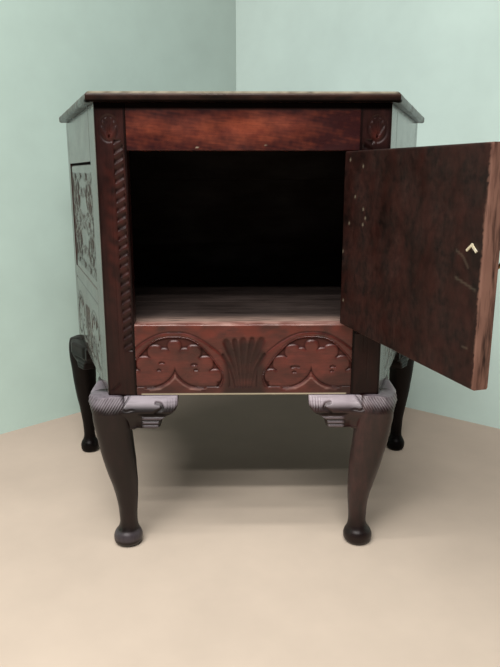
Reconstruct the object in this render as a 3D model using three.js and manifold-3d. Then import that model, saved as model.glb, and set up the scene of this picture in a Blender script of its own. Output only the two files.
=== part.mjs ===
// A side cabinet with a narrow front, canted sides and a wide back, on four cabriole legs.
// Millimetres. x runs to the right along the front, y runs back from the front, z runs up from the floor.
import * as THREE from "three";
import { mergeVertices } from "three/addons/utils/BufferGeometryUtils.js";
import Module from "manifold-3d";

const wasm = await Module();
wasm.setup();

// Case
const frontWidth = 440;
const rearWidth = 735;
const caseDepth = 423;
const legHeight = 272;
const caseHeight = 452;
const frameThickness = 22;
const jointGap = 0.3; // clearance in each joint of the joinery

// Top board
const topThickness = 15;
const topOverhang = 13;
const topEdgeRound = 4;

// Front frame
const frontStileWidth = 46;
const frontTopRailHeight = 68;
const frontApronHeight = 118;

// Side frames
const sideFrontStileWidth = 70;
const woodPastTenon = 22; // left of a side's rear stile beyond the tenons
const sideTopRailHeight = 83;
const sideMiddleRailHeight = 24;
const sideApronHeight = 137;
const panelThickness = 11;
const panelRecess = 4;
const panelTongue = 7;

// Tenons of the rails
const tenonLength = 14;
const tenonThickness = 7;
const tenonShoulder = 8;

// Back and bottom
const backThickness = 11;
const backLip = 9; // wood left outside the rebate that holds the back boards
const backBoardHeights = [201, 136];
const floorThickness = 13;
const floorFrontBoardDepth = 170;
const ledgeSize = 15;
const ledgeInset = 70; // how far a side ledge stops short of its frame's ends

// Glue blocks under the top
const blockLength = 90;
const blockSize = 22;

// Legs
const kneeRadius = 31;
const rearKneeRadius = 25.5;
const kneeInset = 6; // from both faces of the case to the middle of the knee
const frontFootInset = { front: 11, corner: 23 };
const rearFootInset = { rear: 21, corner: 14 };
const rearKneeInset = { rear: 32, corner: 12.5 };
const postWidth = 38; // the post inside the case's corner, along each wall, up to the ledges

// Ears beside the knees
const earReach = 110; // from the middle of the knee
const earHeight = 46;
const earProud = 17; // beyond the case's face
const earBack = 15; // behind the case's face

// Door
const doorSetBack = 1; // from the door's inner face to the frame's inner face, when closed
const doorGap = 1.5;
const doorBottomGap = 3.3;
const doorOpen = THREE.MathUtils.degToRad(106.2);
const stopSize = { width: 45, height: 30, thickness: 12, overlap: 7 };

// Hinges
const hingeHeightShare = 0.398; // of the door's height
const hingeEdgeDistance = 12; // from the door's end to the hinge
const leafWidth = 24;
const leafThickness = 1.6;
const barrelRadius = 2.9;
const barrelClearance = 0.1; // from the barrel to the plane of the door's face
const pinRadius = 1.5;
const pinClearance = 0.2;
const pinHeadRadius = 2.6;
const pinHeadHeight = 2;
const knuckleCount = 3;
const knuckleGap = 0.4;

// Handle
const handleEdgeDistance = 19; // from the door's free edge
const handleLift = 26; // above the middle of the door
const plateRadius = 15;
const plateThickness = 1.6;
const ringRadius = 13;
const ringWire = 2;
const eyeWire = 1.5;
const eyeClearance = 0.4; // round the ring's wire
const eyeRise = 1; // from the plate to the eye
const shankRadius = 1.6;
const prongLength = 11;
const prongWidth = 2.6;
const prongThickness = 1.4;
const prongSpread = THREE.MathUtils.degToRad(52);

// Sides and steps of the round pieces
const rodSides = 16;
const wireSides = 8;
const eyeSteps = 16;
const ringSteps = 28;
const edgeSteps = 4;
const legSides = 24;

// Worked out from the sizes above
const halfFront = frontWidth / 2;
const halfRear = rearWidth / 2;
const caseTop = legHeight + caseHeight;
const cant = Math.atan2(halfRear - halfFront, caseDepth);
const sideLength = Math.hypot(halfRear - halfFront, caseDepth);
const mitreRun = frameThickness * Math.tan((Math.PI / 2 - cant) / 2);
const doorwayHalf = halfFront - frontStileWidth;
const doorwayTop = caseTop - frontTopRailHeight;
const floorTop = legHeight + frontApronHeight;
const floorBottom = floorTop - floorThickness;
const panelTop = caseTop - sideTopRailHeight;
const panelBottom = legHeight + sideApronHeight + sideMiddleRailHeight;
const backFace = caseDepth - backThickness;
const postTop = floorBottom - ledgeSize;
const sideRearStileWidth = tenonLength + woodPastTenon;
const doorThickness = frameThickness - doorSetBack;
const doorLow = floorTop + doorBottomGap;
const doorHigh = doorwayTop - doorGap;
const hingeHeight = hingeHeightShare * (doorHigh - doorLow);
const pinProud = barrelRadius + barrelClearance;
const barrelBore = pinRadius + pinClearance;
const eyeRadius = ringWire + eyeClearance + eyeWire;
const eyeStand = eyeRise + eyeRadius + eyeWire;

// Finishes
const wood = (color, roughness) => new THREE.MeshStandardMaterial({ color, roughness, metalness: 0 });
const finish = {
  caseWood: wood(0x3a1812, 0.35),
  apronWood: wood(0x471d14, 0.35),
  legWood: wood(0x24120f, 0.3),
  doorWood: wood(0x33201a, 0.5),
  insideWood: wood(0x3b2f28, 0.8),
  brass: new THREE.MeshStandardMaterial({ color: 0xb08a4a, roughness: 0.35, metalness: 1 }),
  iron: new THREE.MeshStandardMaterial({ color: 0x2c2826, roughness: 0.5, metalness: 1 }),
};

// Joining and cutting solids
function solidOf(geometry) {
  const bare = new THREE.BufferGeometry().setAttribute("position", geometry.getAttribute("position"));
  if (geometry.index) bare.setIndex(geometry.index);
  const merged = mergeVertices(bare);
  return new wasm.Manifold(
    new wasm.Mesh({
      numProp: 3,
      vertProperties: new Float32Array(merged.attributes.position.array),
      triVerts: new Uint32Array(merged.index.array),
    }),
  );
}

function geometryOf(solid) {
  const { numProp, vertProperties, triVerts } = solid.getMesh();
  const geometry = new THREE.BufferGeometry();
  const positions = new THREE.InterleavedBufferAttribute(
    new THREE.InterleavedBuffer(vertProperties, numProp), 3, 0,
  );
  geometry.setAttribute("position", new THREE.BufferAttribute(new Float32Array(positions.count * 3), 3));
  for (let i = 0; i < positions.count; i++) {
    geometry.attributes.position.setXYZ(i, positions.getX(i), positions.getY(i), positions.getZ(i));
  }
  geometry.setIndex(new THREE.BufferAttribute(triVerts, 1));
  const faceted = geometry.toNonIndexed();
  faceted.computeVertexNormals();
  return faceted;
}

function join(geometry, others) {
  return geometryOf(others.reduce((solid, other) => solid.add(solidOf(other)), solidOf(geometry)));
}

function cut(geometry, tools) {
  return geometryOf(tools.reduce((solid, tool) => solid.subtract(solidOf(tool)), solidOf(geometry)));
}

// An upright prism over a plan outline
function prism(points, low, high) {
  const outline = new THREE.Shape(points.map(([x, y]) => new THREE.Vector2(x, y)));
  const geometry = new THREE.ExtrudeGeometry(outline, { depth: high - low, bevelEnabled: false });
  return geometry.translate(0, 0, low);
}

function box([x0, x1], [y0, y1], [z0, z1]) {
  return prism([[x0, y0], [x1, y0], [x1, y1], [x0, y1]], z0, z1);
}

// A closed skin through level rings of equal count, each ring convex
function loft(rings) {
  const count = rings[0].length;
  const index = [];
  for (let level = 0; level + 1 < rings.length; level++) {
    for (let i = 0; i < count; i++) {
      const here = level * count + i;
      const next = level * count + ((i + 1) % count);
      index.push(here, next, next + count, here, next + count, here + count);
    }
  }
  const last = (rings.length - 1) * count;
  for (let i = 1; i + 1 < count; i++) {
    index.push(0, i + 1, i);
    index.push(last, last + i, last + i + 1);
  }
  const geometry = new THREE.BufferGeometry();
  geometry.setAttribute("position", new THREE.Float32BufferAttribute(rings.flat(2), 3));
  geometry.setIndex(index);
  const faceted = geometry.toNonIndexed();
  faceted.computeVertexNormals();
  return faceted;
}

function piece(name, geometry, material) {
  const mesh = new THREE.Mesh(geometry, material);
  mesh.name = name;
  return mesh;
}

// Top board: a trapezoid that overhangs the front and sides, with a rounded edge
function topBoard() {
  const low = [];
  const high = [];
  for (let i = 0; i <= edgeSteps; i++) {
    const turn = (Math.PI / 2) * (i / edgeSteps);
    const rise = topEdgeRound * (1 - Math.cos(turn));
    const drawnIn = topEdgeRound * (1 - Math.sin(turn));
    low.push([caseTop + rise, drawnIn]);
    high.unshift([caseTop + topThickness - rise, drawnIn]);
  }
  const levels = [...low, ...high];
  const corner = Math.tan((Math.PI / 2 - cant) / 2);
  const rings = levels.map(([z, drawnIn]) => {
    const overhang = topOverhang - drawnIn;
    const front = halfFront + overhang * corner;
    const rear = halfRear + overhang / Math.cos(cant);
    return [[-front, -overhang, z], [front, -overhang, z], [rear, caseDepth, z], [-rear, caseDepth, z]];
  });
  return piece("top_board", loft(rings), finish.caseWood);
}

// A rail between two stiles, along x, with a tenon at each end; hand turns the thickness to -y
function tenonedRail([x0, x1], [z0, z1], hand) {
  const middle = frameThickness / 2;
  const cheeks = [hand * (middle - tenonThickness / 2), hand * (middle + tenonThickness / 2)];
  const body = box([x0, x1], [0, hand * frameThickness], [z0, z1]);
  const tenons = box([x0 - tenonLength, x1 + tenonLength], cheeks, [z0 + tenonShoulder, z1 - tenonShoulder]);
  return join(body, [tenons]);
}

function mortise([x0, x1], [z0, z1], hand) {
  const middle = frameThickness / 2;
  const half = tenonThickness / 2 + jointGap;
  return box(
    [x0 - jointGap, x1 + jointGap],
    [hand * (middle - half), hand * (middle + half)],
    [z0 + tenonShoulder - jointGap, z1 - tenonShoulder + jointGap],
  );
}

function frontFrame() {
  const topSpan = [doorwayTop, caseTop];
  const apronSpan = [legHeight, floorTop];
  const rails = new THREE.Group();
  for (const [name, hand] of [["left", -1], ["right", 1]]) {
    const outline = [
      [hand * doorwayHalf, 0],
      [hand * (halfFront - jointGap / 2), 0],
      [hand * (halfFront - mitreRun - jointGap / 2), frameThickness],
      [hand * doorwayHalf, frameThickness],
    ];
    const reach = [doorwayHalf, doorwayHalf + tenonLength].map((x) => hand * x).sort((a, b) => a - b);
    const mortises = [mortise(reach, topSpan, 1), mortise(reach, apronSpan, 1)];
    const stile = cut(prism(outline, legHeight, caseTop), mortises);
    rails.add(piece(`front_stile_${name}`, stile, finish.caseWood));
  }
  const span = [-doorwayHalf, doorwayHalf];
  rails.add(piece("front_top_rail", tenonedRail(span, topSpan, 1), finish.caseWood));
  rails.add(piece("front_apron_rail", tenonedRail(span, apronSpan, 1), finish.apronWood));
  return rails;
}

// A canted side, drawn with x along it from the front corner and the thickness towards the inside
function sideFrame(name, hand) {
  const group = new THREE.Group();
  group.position.set(hand * halfFront, 0, 0);
  group.rotation.z = Math.PI / 2 - hand * cant;
  const inward = (points) => points.map(([along, depth]) => [along, hand * depth]);
  const rearEnd = (depth) => sideLength - depth * Math.tan(cant);
  const stileSpan = [sideFrontStileWidth, sideLength - sideRearStileWidth];
  const railSpan = [stileSpan[0] + jointGap, stileSpan[1] - jointGap];
  const spans = {
    top_rail: [panelTop, caseTop],
    middle_rail: [panelBottom - sideMiddleRailHeight + jointGap, panelBottom],
    apron_rail: [legHeight, legHeight + sideApronHeight],
  };
  const groove = box(
    [stileSpan[0] - panelTongue - jointGap, stileSpan[1] + panelTongue + jointGap],
    [hand * (panelRecess - jointGap), hand * (panelRecess + panelThickness + jointGap)],
    [panelBottom - panelTongue - jointGap, panelTop + panelTongue + jointGap],
  );
  const ends = [[railSpan[0] - tenonLength, railSpan[0]], [railSpan[1], railSpan[1] + tenonLength]];
  const mortises = ends.map((end) => Object.values(spans).map((span) => mortise(end, span, hand)));

  const frontStile = prism(
    inward([[jointGap / 2, 0], [stileSpan[0], 0], [stileSpan[0], frameThickness],
      [mitreRun + jointGap / 2, frameThickness]]),
    legHeight, caseTop,
  );
  group.add(piece(`side_${name}_front_stile`, cut(frontStile, [groove, ...mortises[0]]), finish.caseWood));

  // The rear stile is cut off along the back, with a rebate for the back boards
  const rebateLip = sideLength - (backLip * Math.sin(cant));
  const acrossLip = backLip * Math.cos(cant);
  const forward = backThickness + jointGap;
  const rearStile = prism(
    inward([
      [stileSpan[1], 0],
      [sideLength, 0],
      [rebateLip, acrossLip],
      [rebateLip - forward * Math.cos(cant), acrossLip - forward * Math.sin(cant)],
      [rearEnd(frameThickness) - forward / Math.cos(cant), frameThickness],
      [stileSpan[1], frameThickness],
    ]),
    legHeight, caseTop,
  );
  group.add(piece(`side_${name}_rear_stile`, cut(rearStile, [groove, ...mortises[1]]), finish.caseWood));

  for (const [rail, span] of Object.entries(spans)) {
    const material = rail === "apron_rail" ? finish.apronWood : finish.caseWood;
    const shape = tenonedRail(railSpan, span, hand);
    group.add(piece(`side_${name}_${rail}`, cut(shape, [groove]), material));
  }
  const panel = box(
    [stileSpan[0] - panelTongue, stileSpan[1] + panelTongue],
    [hand * panelRecess, hand * (panelRecess + panelThickness)],
    [panelBottom - panelTongue, panelTop + panelTongue],
  );
  group.add(piece(`side_${name}_panel`, panel, finish.caseWood));

  const ledge = box(
    [ledgeInset, sideLength - ledgeInset],
    [hand * (frameThickness + jointGap), hand * (frameThickness + ledgeSize)],
    [floorBottom - ledgeSize, floorBottom],
  );
  group.add(piece(`floor_ledge_${name}`, ledge, finish.insideWood));
  const block = box(
    [(sideLength - blockLength) / 2, (sideLength + blockLength) / 2],
    [hand * (frameThickness + jointGap), hand * (frameThickness + blockSize)],
    [caseTop - blockSize, caseTop],
  );
  group.add(piece(`top_block_${name}`, block, finish.insideWood));
  return group;
}

// Half the width between the sides' inner faces, at a depth from the front
function insideHalf(depth) {
  return halfFront + depth * Math.tan(cant) - frameThickness / Math.cos(cant) - jointGap;
}

function backAndBottom() {
  const group = new THREE.Group();
  const boardHalf = halfRear - backLip - jointGap;
  let low = legHeight;
  const tops = [...backBoardHeights.map((height) => (low += height)), caseTop];
  low = legHeight;
  for (const [i, name] of ["lower", "middle", "upper"].entries()) {
    const board = box([-boardHalf, boardHalf], [backFace, caseDepth], [low, tops[i]]);
    group.add(piece(`back_board_${name}`, board, finish.insideWood));
    low = tops[i] + jointGap;
  }
  const seam = frameThickness + floorFrontBoardDepth;
  for (const [name, near, far] of [["front", frameThickness, seam], ["rear", seam + jointGap, backFace]]) {
    const outline = [
      [-insideHalf(near), near], [insideHalf(near), near], [insideHalf(far), far], [-insideHalf(far), far],
    ];
    group.add(piece(`floor_board_${name}`, prism(outline, floorBottom, floorTop), finish.insideWood));
  }
  const ledgeSpan = [floorBottom - ledgeSize, floorBottom];
  const rows = {
    front: [frameThickness, frameThickness + ledgeSize],
    rear: [backFace - ledgeSize, backFace],
  };
  for (const [name, depths] of Object.entries(rows)) {
    const half = insideHalf(depths[0]) - postWidth - ledgeSize;
    group.add(piece(`floor_ledge_${name}`, box([-half, half], depths, ledgeSpan), finish.insideWood));
  }
  const blockSpan = [caseTop - blockSize, caseTop];
  const blockHalf = blockLength / 2;
  const front = box([-blockHalf, blockHalf], [frameThickness, frameThickness + blockSize], blockSpan);
  const rear = box([-blockHalf, blockHalf], [backFace - blockSize, backFace], blockSpan);
  group.add(piece("top_block_front", front, finish.insideWood));
  group.add(piece("top_block_rear", rear, finish.insideWood));
  const stopTop = doorwayTop + stopSize.height - stopSize.overlap;
  const stop = box(
    [-doorwayHalf, -doorwayHalf + stopSize.width],
    [frameThickness, frameThickness + stopSize.thickness],
    [doorwayTop - stopSize.overlap, stopTop],
  );
  group.add(piece("door_stop", stop, finish.insideWood));
  return group;
}

// Shares of a cabriole leg: height up the leg, radius of the knee, lean from foot to knee, squareness
const legShares = [
  [0, 0.57, 0, 2],
  [0.012, 0.7, 0, 2],
  [0.03, 0.78, 0, 2],
  [0.055, 0.797, 0, 2],
  [0.08, 0.74, 0, 2],
  [0.105, 0.6, -0.04, 2],
  [0.13, 0.52, -0.08, 2],
  [0.16, 0.49, -0.1, 2],
  [0.22, 0.51, -0.1, 2],
  [0.32, 0.595, -0.06, 2.1],
  [0.4, 0.69, 0.06, 2.2],
  [0.48, 0.785, 0.24, 2.3],
  [0.56, 0.86, 0.42, 2.4],
  [0.64, 0.91, 0.6, 2.5],
  [0.72, 0.945, 0.77, 2.6],
  [0.8, 0.97, 0.91, 2.8],
  [0.88, 1, 1, 3],
  [0.95, 1, 1, 3.2],
  [1, 0.96, 0.95, 3.2],
];

// Shares of an ear's outline: along its reach and down its height
const earShares = [
  [0, 0],
  [1, 0],
  [0.99, 0.2],
  [0.955, 0.4],
  [0.9, 0.62],
  [0.845, 0.8],
  [0.8, 0.93],
  [0.74, 1],
  [0.45, 1],
  [0.39, 1.06],
  [0.34, 1.25],
  [0, 1.25],
];

// The leg as a loft from the foot to the knee; grown makes it larger all round, to cut a seat for it
function legSkin(foot, knee, kneeWidth, cornerAngle, grown) {
  return loft(legShares.map(([up, wide, lean, square]) => {
    const ring = [];
    for (let i = 0; i < legSides; i++) {
      const turn = (2 * Math.PI * i) / legSides;
      const fromAxis = turn - cornerAngle - Math.PI / 4;
      const spread = Math.abs(Math.cos(fromAxis)) ** square + Math.abs(Math.sin(fromAxis)) ** square;
      const radius = kneeWidth * wide * spread ** (-1 / square) + grown;
      ring.push([
        foot[0] + (knee[0] - foot[0]) * lean + radius * Math.cos(turn),
        foot[1] + (knee[1] - foot[1]) * lean + radius * Math.sin(turn),
        up * legHeight,
      ]);
    }
    return ring;
  }));
}

// Where each leg stands: its knee's radius, foot, knee, the corner's outward angle and the post's plan
function legPlaces() {
  const side = (along, depth) => [
    halfFront + along * Math.sin(cant) - depth * Math.cos(cant),
    along * Math.cos(cant) + depth * Math.sin(cant),
  ];
  const slip = jointGap;
  const inset = frameThickness + slip;
  const innerFront = [halfFront + inset * Math.tan(cant) - inset / Math.cos(cant), inset];
  const near = Math.hypot(innerFront[0] - halfFront, innerFront[1]);
  const alongFront = Math.sqrt(Math.max(near * near - inset * inset, 0));
  const back = backFace - slip;
  const innerBack = [halfFront + back * Math.tan(cant) - inset / Math.cos(cant), back];
  const alongBack = (back - inset * Math.sin(cant)) / Math.cos(cant);
  return {
    front: {
      radius: kneeRadius,
      foot: [halfFront - frontFootInset.corner, frontFootInset.front],
      knee: [halfFront + kneeInset * Math.tan(cant) - kneeInset / Math.cos(cant), kneeInset],
      angle: -(Math.PI / 2 + cant) / 2,
      post: [
        innerFront,
        side(alongFront + postWidth, inset),
        side(alongFront + postWidth, inset + postWidth),
        [innerFront[0] - postWidth, inset + postWidth],
        [innerFront[0] - postWidth, inset],
      ],
    },
    rear: {
      radius: rearKneeRadius,
      foot: [halfRear - rearFootInset.corner, caseDepth - rearFootInset.rear],
      knee: [halfRear - rearKneeInset.corner, caseDepth - rearKneeInset.rear],
      angle: -cant,
      post: [
        innerBack,
        [innerBack[0] - postWidth, back],
        [innerBack[0] - postWidth, back - postWidth],
        side(alongBack - postWidth, inset),
      ],
    },
  };
}

function legsAndEars() {
  const group = new THREE.Group();
  const places = legPlaces();
  const seats = {};
  for (const [end, place] of Object.entries(places)) {
    for (const [name, hand] of [["left", -1], ["right", 1]]) {
      const flip = ([x, y]) => [hand * x, y];
      const angle = hand > 0 ? place.angle : Math.PI - place.angle;
      const skin = (grown) => legSkin(flip(place.foot), flip(place.knee), place.radius, angle, grown);
      const plan = place.post.map(flip);
      const postLow = legHeight - postWidth / 2;
      const post = prism(plan, postLow, postTop);
      group.add(piece(`leg_${end}_${name}`, join(skin(0), [post]), finish.legWood));
      const seatOfPost = prism(plan, postLow - jointGap, postTop);
      seats[`${end}_${name}`] = join(skin(jointGap), [seatOfPost]);
    }
  }

  // An ear reaches from the middle of its knee along the rail, to the left where hand is positive
  const ear = (hand) => {
    const outline = earShares.map(([along, down]) => [-hand * along * earReach, -down * earHeight]);
    return prism(outline, -earBack, earProud).rotateX(Math.PI / 2);
  };
  // The foot of a line from a knee to the side's face, and the side's own direction
  const alongSide = ([x, y]) => (x - halfFront) * Math.sin(cant) + y * Math.cos(cant);
  const onSide = (along) => [halfFront + along * Math.sin(cant), along * Math.cos(cant)];
  for (const [name, hand] of [["left", -1], ["right", 1]]) {
    const sideTurn = hand * (Math.PI / 2 - cant);
    const spots = {
      [`ear_front_${name}`]: ["front", [places.front.knee[0], 0], 0, hand],
      [`ear_side_${name}_front`]: ["front", onSide(alongSide(places.front.knee)), sideTurn, -hand],
      [`ear_side_${name}_rear`]: ["rear", onSide(alongSide(places.rear.knee)), sideTurn, hand],
    };
    for (const [earName, [end, [x, y], turn, reachHand]] of Object.entries(spots)) {
      const shape = ear(reachHand).rotateZ(turn).translate(hand * x, y, legHeight);
      group.add(piece(earName, cut(shape, [seats[`${end}_${name}`]]), finish.legWood));
    }
  }
  return group;
}

// A hinge's height cut in three knuckles: which of them a leaf has decides its shape
function hingeLeaf(hand, knuckles, faceAt) {
  const step = hingeHeight / knuckleCount;
  const plateStart = barrelRadius + knuckleGap;
  const plate = box(
    [hand * plateStart, hand * leafWidth], [faceAt - leafThickness, faceAt], [0, hingeHeight],
  );
  const parts = [];
  const bores = [];
  for (const k of knuckles) {
    const low = k * step + knuckleGap / 2;
    const high = (k + 1) * step - knuckleGap / 2;
    parts.push(box([0, hand * (plateStart + knuckleGap)], [faceAt - leafThickness, faceAt], [low, high]));
    parts.push(rod(barrelRadius, low, high));
    bores.push(rod(barrelBore, low - knuckleGap, high + knuckleGap));
  }
  return cut(join(plate, parts), bores);
}

function rod(radius, low, high) {
  const geometry = new THREE.CylinderGeometry(radius, radius, high - low, rodSides);
  return geometry.rotateX(Math.PI / 2).translate(0, 0, (low + high) / 2);
}

function hingePin() {
  const shaft = rod(pinRadius, -pinHeadHeight, hingeHeight + pinHeadHeight);
  const head = rod(pinHeadRadius, hingeHeight + knuckleGap, hingeHeight + pinHeadHeight);
  const foot = rod(pinHeadRadius, -pinHeadHeight, -knuckleGap);
  return join(shaft, [head, foot]);
}

// The door and what turns with it, drawn closed about the hinge's axis
function doorAndHinges() {
  const axis = [doorwayHalf - doorGap / 2, -pinProud];
  const face = pinProud;
  const doorWidth = 2 * (doorwayHalf - doorGap);
  const hingeEdge = -doorGap / 2;
  const freeEdge = hingeEdge - doorWidth;
  const still = new THREE.Group();
  still.position.set(axis[0], axis[1], 0);
  const turning = new THREE.Group();
  turning.position.copy(still.position);
  turning.rotation.z = doorOpen;

  const lows = {
    lower: doorLow + hingeEdgeDistance,
    upper: doorHigh - hingeEdgeDistance - hingeHeight,
  };
  for (const [name, low] of Object.entries(lows)) {
    const stileLeaf = piece(`hinge_${name}_stile_leaf`, hingeLeaf(1, [0, 2], face), finish.iron);
    const doorLeaf = piece(`hinge_${name}_door_leaf`, hingeLeaf(-1, [1], face - jointGap), finish.iron);
    const pin = piece(`hinge_${name}_pin`, hingePin(), finish.iron);
    stileLeaf.position.z = low;
    doorLeaf.position.z = low;
    pin.position.z = low;
    still.add(stileLeaf, pin);
    turning.add(doorLeaf);
  }

  const handleX = freeEdge + handleEdgeDistance;
  const handleZ = (doorLow + doorHigh) / 2 + handleLift;
  const along = (radius, y0, y1) => rod(radius, y0, y1).rotateX(-Math.PI / 2);
  const board = box([freeEdge, hingeEdge], [face, face + doorThickness], [doorLow, doorHigh]);
  const through = face + 2 * doorThickness;
  const hole = along(shankRadius + jointGap, -doorThickness, through).translate(handleX, 0, handleZ);
  turning.add(piece("door_board", cut(board, [hole]), finish.doorWood));

  const handle = new THREE.Group();
  handle.position.set(handleX, face - jointGap, handleZ);
  turning.add(handle);
  const plateHole = along(shankRadius + jointGap, -2 * plateThickness, plateThickness);
  const plate = cut(along(plateRadius, -plateThickness, 0), [plateHole]);
  handle.add(piece("handle_plate", plate, finish.brass));

  // The split pin: an eye outside, a shank through the door, and two prongs spread on the inner face
  const eyeY = -plateThickness - eyeStand;
  const innerFace = doorThickness + 2 * jointGap;
  const eye = new THREE.TorusGeometry(eyeRadius, eyeWire, wireSides, eyeSteps);
  eye.rotateY(Math.PI / 2).translate(0, eyeY, 0);
  const shank = along(shankRadius, eyeY + eyeRadius, innerFace + prongThickness);
  const halfProng = prongWidth / 2;
  const prongDepths = [innerFace, innerFace + prongThickness];
  const prongs = [-1, 1].map((hand) => (
    box([-halfProng, halfProng], prongDepths, [-prongLength, halfProng]).rotateY(hand * prongSpread)
  ));
  handle.add(piece("handle_split_pin", join(shank, [eye, ...prongs]), finish.brass));

  const ring = new THREE.TorusGeometry(ringRadius, ringWire, wireSides, ringSteps).rotateX(Math.PI / 2);
  const ringMesh = piece("handle_ring", ring, finish.brass);
  ringMesh.position.set(0, eyeY, -ringRadius);
  handle.add(ringMesh);

  const group = new THREE.Group();
  group.add(still, turning);
  return group;
}

const cabinet = new THREE.Group();
cabinet.add(
  topBoard(), frontFrame(), sideFrame("left", -1), sideFrame("right", 1), backAndBottom(), legsAndEars(),
  doorAndHinges(),
);

// The origin lies on the floor, at the middle of the ground that the cabinet covers with its door open
const bounds = new THREE.Box3().setFromObject(cabinet, true);
cabinet.position.y = -(bounds.min.y + bounds.max.y) / 2;

export default cabinet;
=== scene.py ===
import math

import bpy
import numpy as np
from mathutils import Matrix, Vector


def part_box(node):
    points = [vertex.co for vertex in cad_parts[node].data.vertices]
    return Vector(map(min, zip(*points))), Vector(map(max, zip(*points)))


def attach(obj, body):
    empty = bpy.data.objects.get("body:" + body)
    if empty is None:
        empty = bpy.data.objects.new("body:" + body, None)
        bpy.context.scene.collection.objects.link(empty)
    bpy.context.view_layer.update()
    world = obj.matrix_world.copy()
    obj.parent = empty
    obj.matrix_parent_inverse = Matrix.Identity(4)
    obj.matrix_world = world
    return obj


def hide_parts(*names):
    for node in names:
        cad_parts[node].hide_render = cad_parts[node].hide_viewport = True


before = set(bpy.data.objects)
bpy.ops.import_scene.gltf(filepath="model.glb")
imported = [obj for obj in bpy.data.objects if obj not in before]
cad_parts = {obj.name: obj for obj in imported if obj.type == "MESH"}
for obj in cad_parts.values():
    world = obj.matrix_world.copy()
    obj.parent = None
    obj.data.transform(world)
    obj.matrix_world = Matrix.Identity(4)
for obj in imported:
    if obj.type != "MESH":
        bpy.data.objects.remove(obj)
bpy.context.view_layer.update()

MM = 0.001
front_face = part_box("front_top_rail")[0].y
up_axis = np.array([0.0, 0.0, 1.0])

# Sizes shared with the solids
half_front = 220.0
half_rear = 367.5
case_depth = 423.0
leg_height = 272.0
case_top = 724.0
frame_thickness = 22.0
joint_gap = 0.3
top_thickness = 15.0
top_overhang = 13.0
top_edge_round = 4.0
stile_width = 46.0
doorway_half = half_front - stile_width
doorway_top = 656.0
floor_top = 390.0
floor_bottom = 377.0
floor_seam = 192.0
side_front_stile = 70.0
side_rear_stile = 36.0
panel_bottom = 433.0
panel_top = 641.0
middle_rail_low = 409.3
side_apron_top = 409.0
panel_recess = 4.0
panel_thickness = 11.0
back_face = 412.0
cant = math.atan2(half_rear - half_front, case_depth)
side_length = math.hypot(half_rear - half_front, case_depth)
mitre_run = frame_thickness * math.tan((math.pi / 2 - cant) / 2)
knee_radius = 31.0
rear_knee_radius = 25.5
ear_reach = 110.0
ear_height = 46.0
ear_proud = 17.0
ear_back = 15.0
hinge_axis = np.array([doorway_half - 0.75, -3.0, 0.0])
door_open = math.radians(106.2)
door_edges = (-345.75, -0.75)
door_faces = (3.0, 24.0)
door_span = (393.3, 654.5)

# Joined to the frame


def placed(points):
    """Drawing millimetres to the frame's metres."""
    return np.asarray(points, float) * MM + np.array([0.0, front_face, 0.0])


def add_piece(name, points, faces, body, material, nodes=(), marks=None, sharp=38):
    """A mesh that rides on a body. Marks are named values at its points: grain (three) and wear (one), the wear mark
    also carrying painted highlights and painted shade.
    """
    mesh = bpy.data.meshes.new(name)
    mesh.from_pydata(placed(points).tolist(), [], faces)
    for key, values in (marks or {}).items():
        values = np.asarray(values, np.float32)
        vector = values.ndim == 2
        attribute = mesh.attributes.new(key, "FLOAT_VECTOR" if vector else "FLOAT", "POINT")
        attribute.data.foreach_set("vector" if vector else "value", values.ravel())
    mesh.validate()
    mesh.shade_smooth()
    mesh.set_sharp_from_angle(angle=math.radians(sharp))
    piece = bpy.data.objects.new(name, mesh)
    bpy.context.scene.collection.objects.link(piece)
    mesh.materials.append(material)
    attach(piece, body)
    if nodes:
        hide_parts(*nodes)
    return piece


# Numbers for shapes


def ease(x):
    x = np.clip(x, 0.0, 1.0)
    return x * x * (3.0 - 2.0 * x)


def circle_distance(u, v, centre, radius):
    return np.hypot(u - centre[0], v - centre[1]) - radius


def line_distance(u, v, points):
    """Distance to a polyline, the share of the way along it, and the side on which a point lies."""
    points = np.asarray(points, float)
    lengths = np.hypot(*(points[1:] - points[:-1]).T)
    total = max(lengths.sum(), 1e-9)
    best = np.full(np.shape(u), 1e9)
    share = np.zeros(np.shape(u))
    side = np.zeros(np.shape(u))
    run = 0.0
    for a, b, length in zip(points[:-1], points[1:], lengths):
        du, dv = (b - a) / max(length, 1e-9)
        along = np.clip((u - a[0]) * du + (v - a[1]) * dv, 0.0, length)
        away = np.hypot(u - a[0] - along * du, v - a[1] - along * dv)
        near = away < best
        best = np.where(near, away, best)
        share = np.where(near, (run + along) / total, share)
        side = np.where(near, (u - a[0]) * dv - (v - a[1]) * du, side)
        run += length
    return best, share, np.sign(side)


def curve_through(points, count=24):
    """A smooth polyline through the points."""
    points = np.asarray(points, float)
    padded = np.vstack([2 * points[0] - points[1], points, 2 * points[-1] - points[-2]])
    out = []
    for i in range(len(points) - 1):
        p0, p1, p2, p3 = padded[i:i + 4]
        for t in np.linspace(0, 1, max(2, count // (len(points) - 1)), endpoint=False):
            out.append(0.5 * (2 * p1 + (p2 - p0) * t + (2 * p0 - 5 * p1 + 4 * p2 - p3) * t * t
                              + (3 * p1 - p0 - 3 * p2 + p3) * t ** 3))
    out.append(points[-1])
    return np.array(out)


def wander(u, v, seed, size=0.16):
    """Slow unevenness of a hand-planed face, in millimetres."""
    waves = np.random.default_rng(seed).uniform(0, 1, (6, 4))
    total = np.zeros(np.shape(u))
    for turn, length, phase, share in waves:
        angle = turn * math.pi
        wavelength = 45.0 + 120.0 * length
        total += (0.4 + share) * np.sin((u * math.cos(angle) + v * math.sin(angle)) * 2 * math.pi / wavelength
                                        + 2 * math.pi * phase)
    return size * total / 2.5


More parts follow.
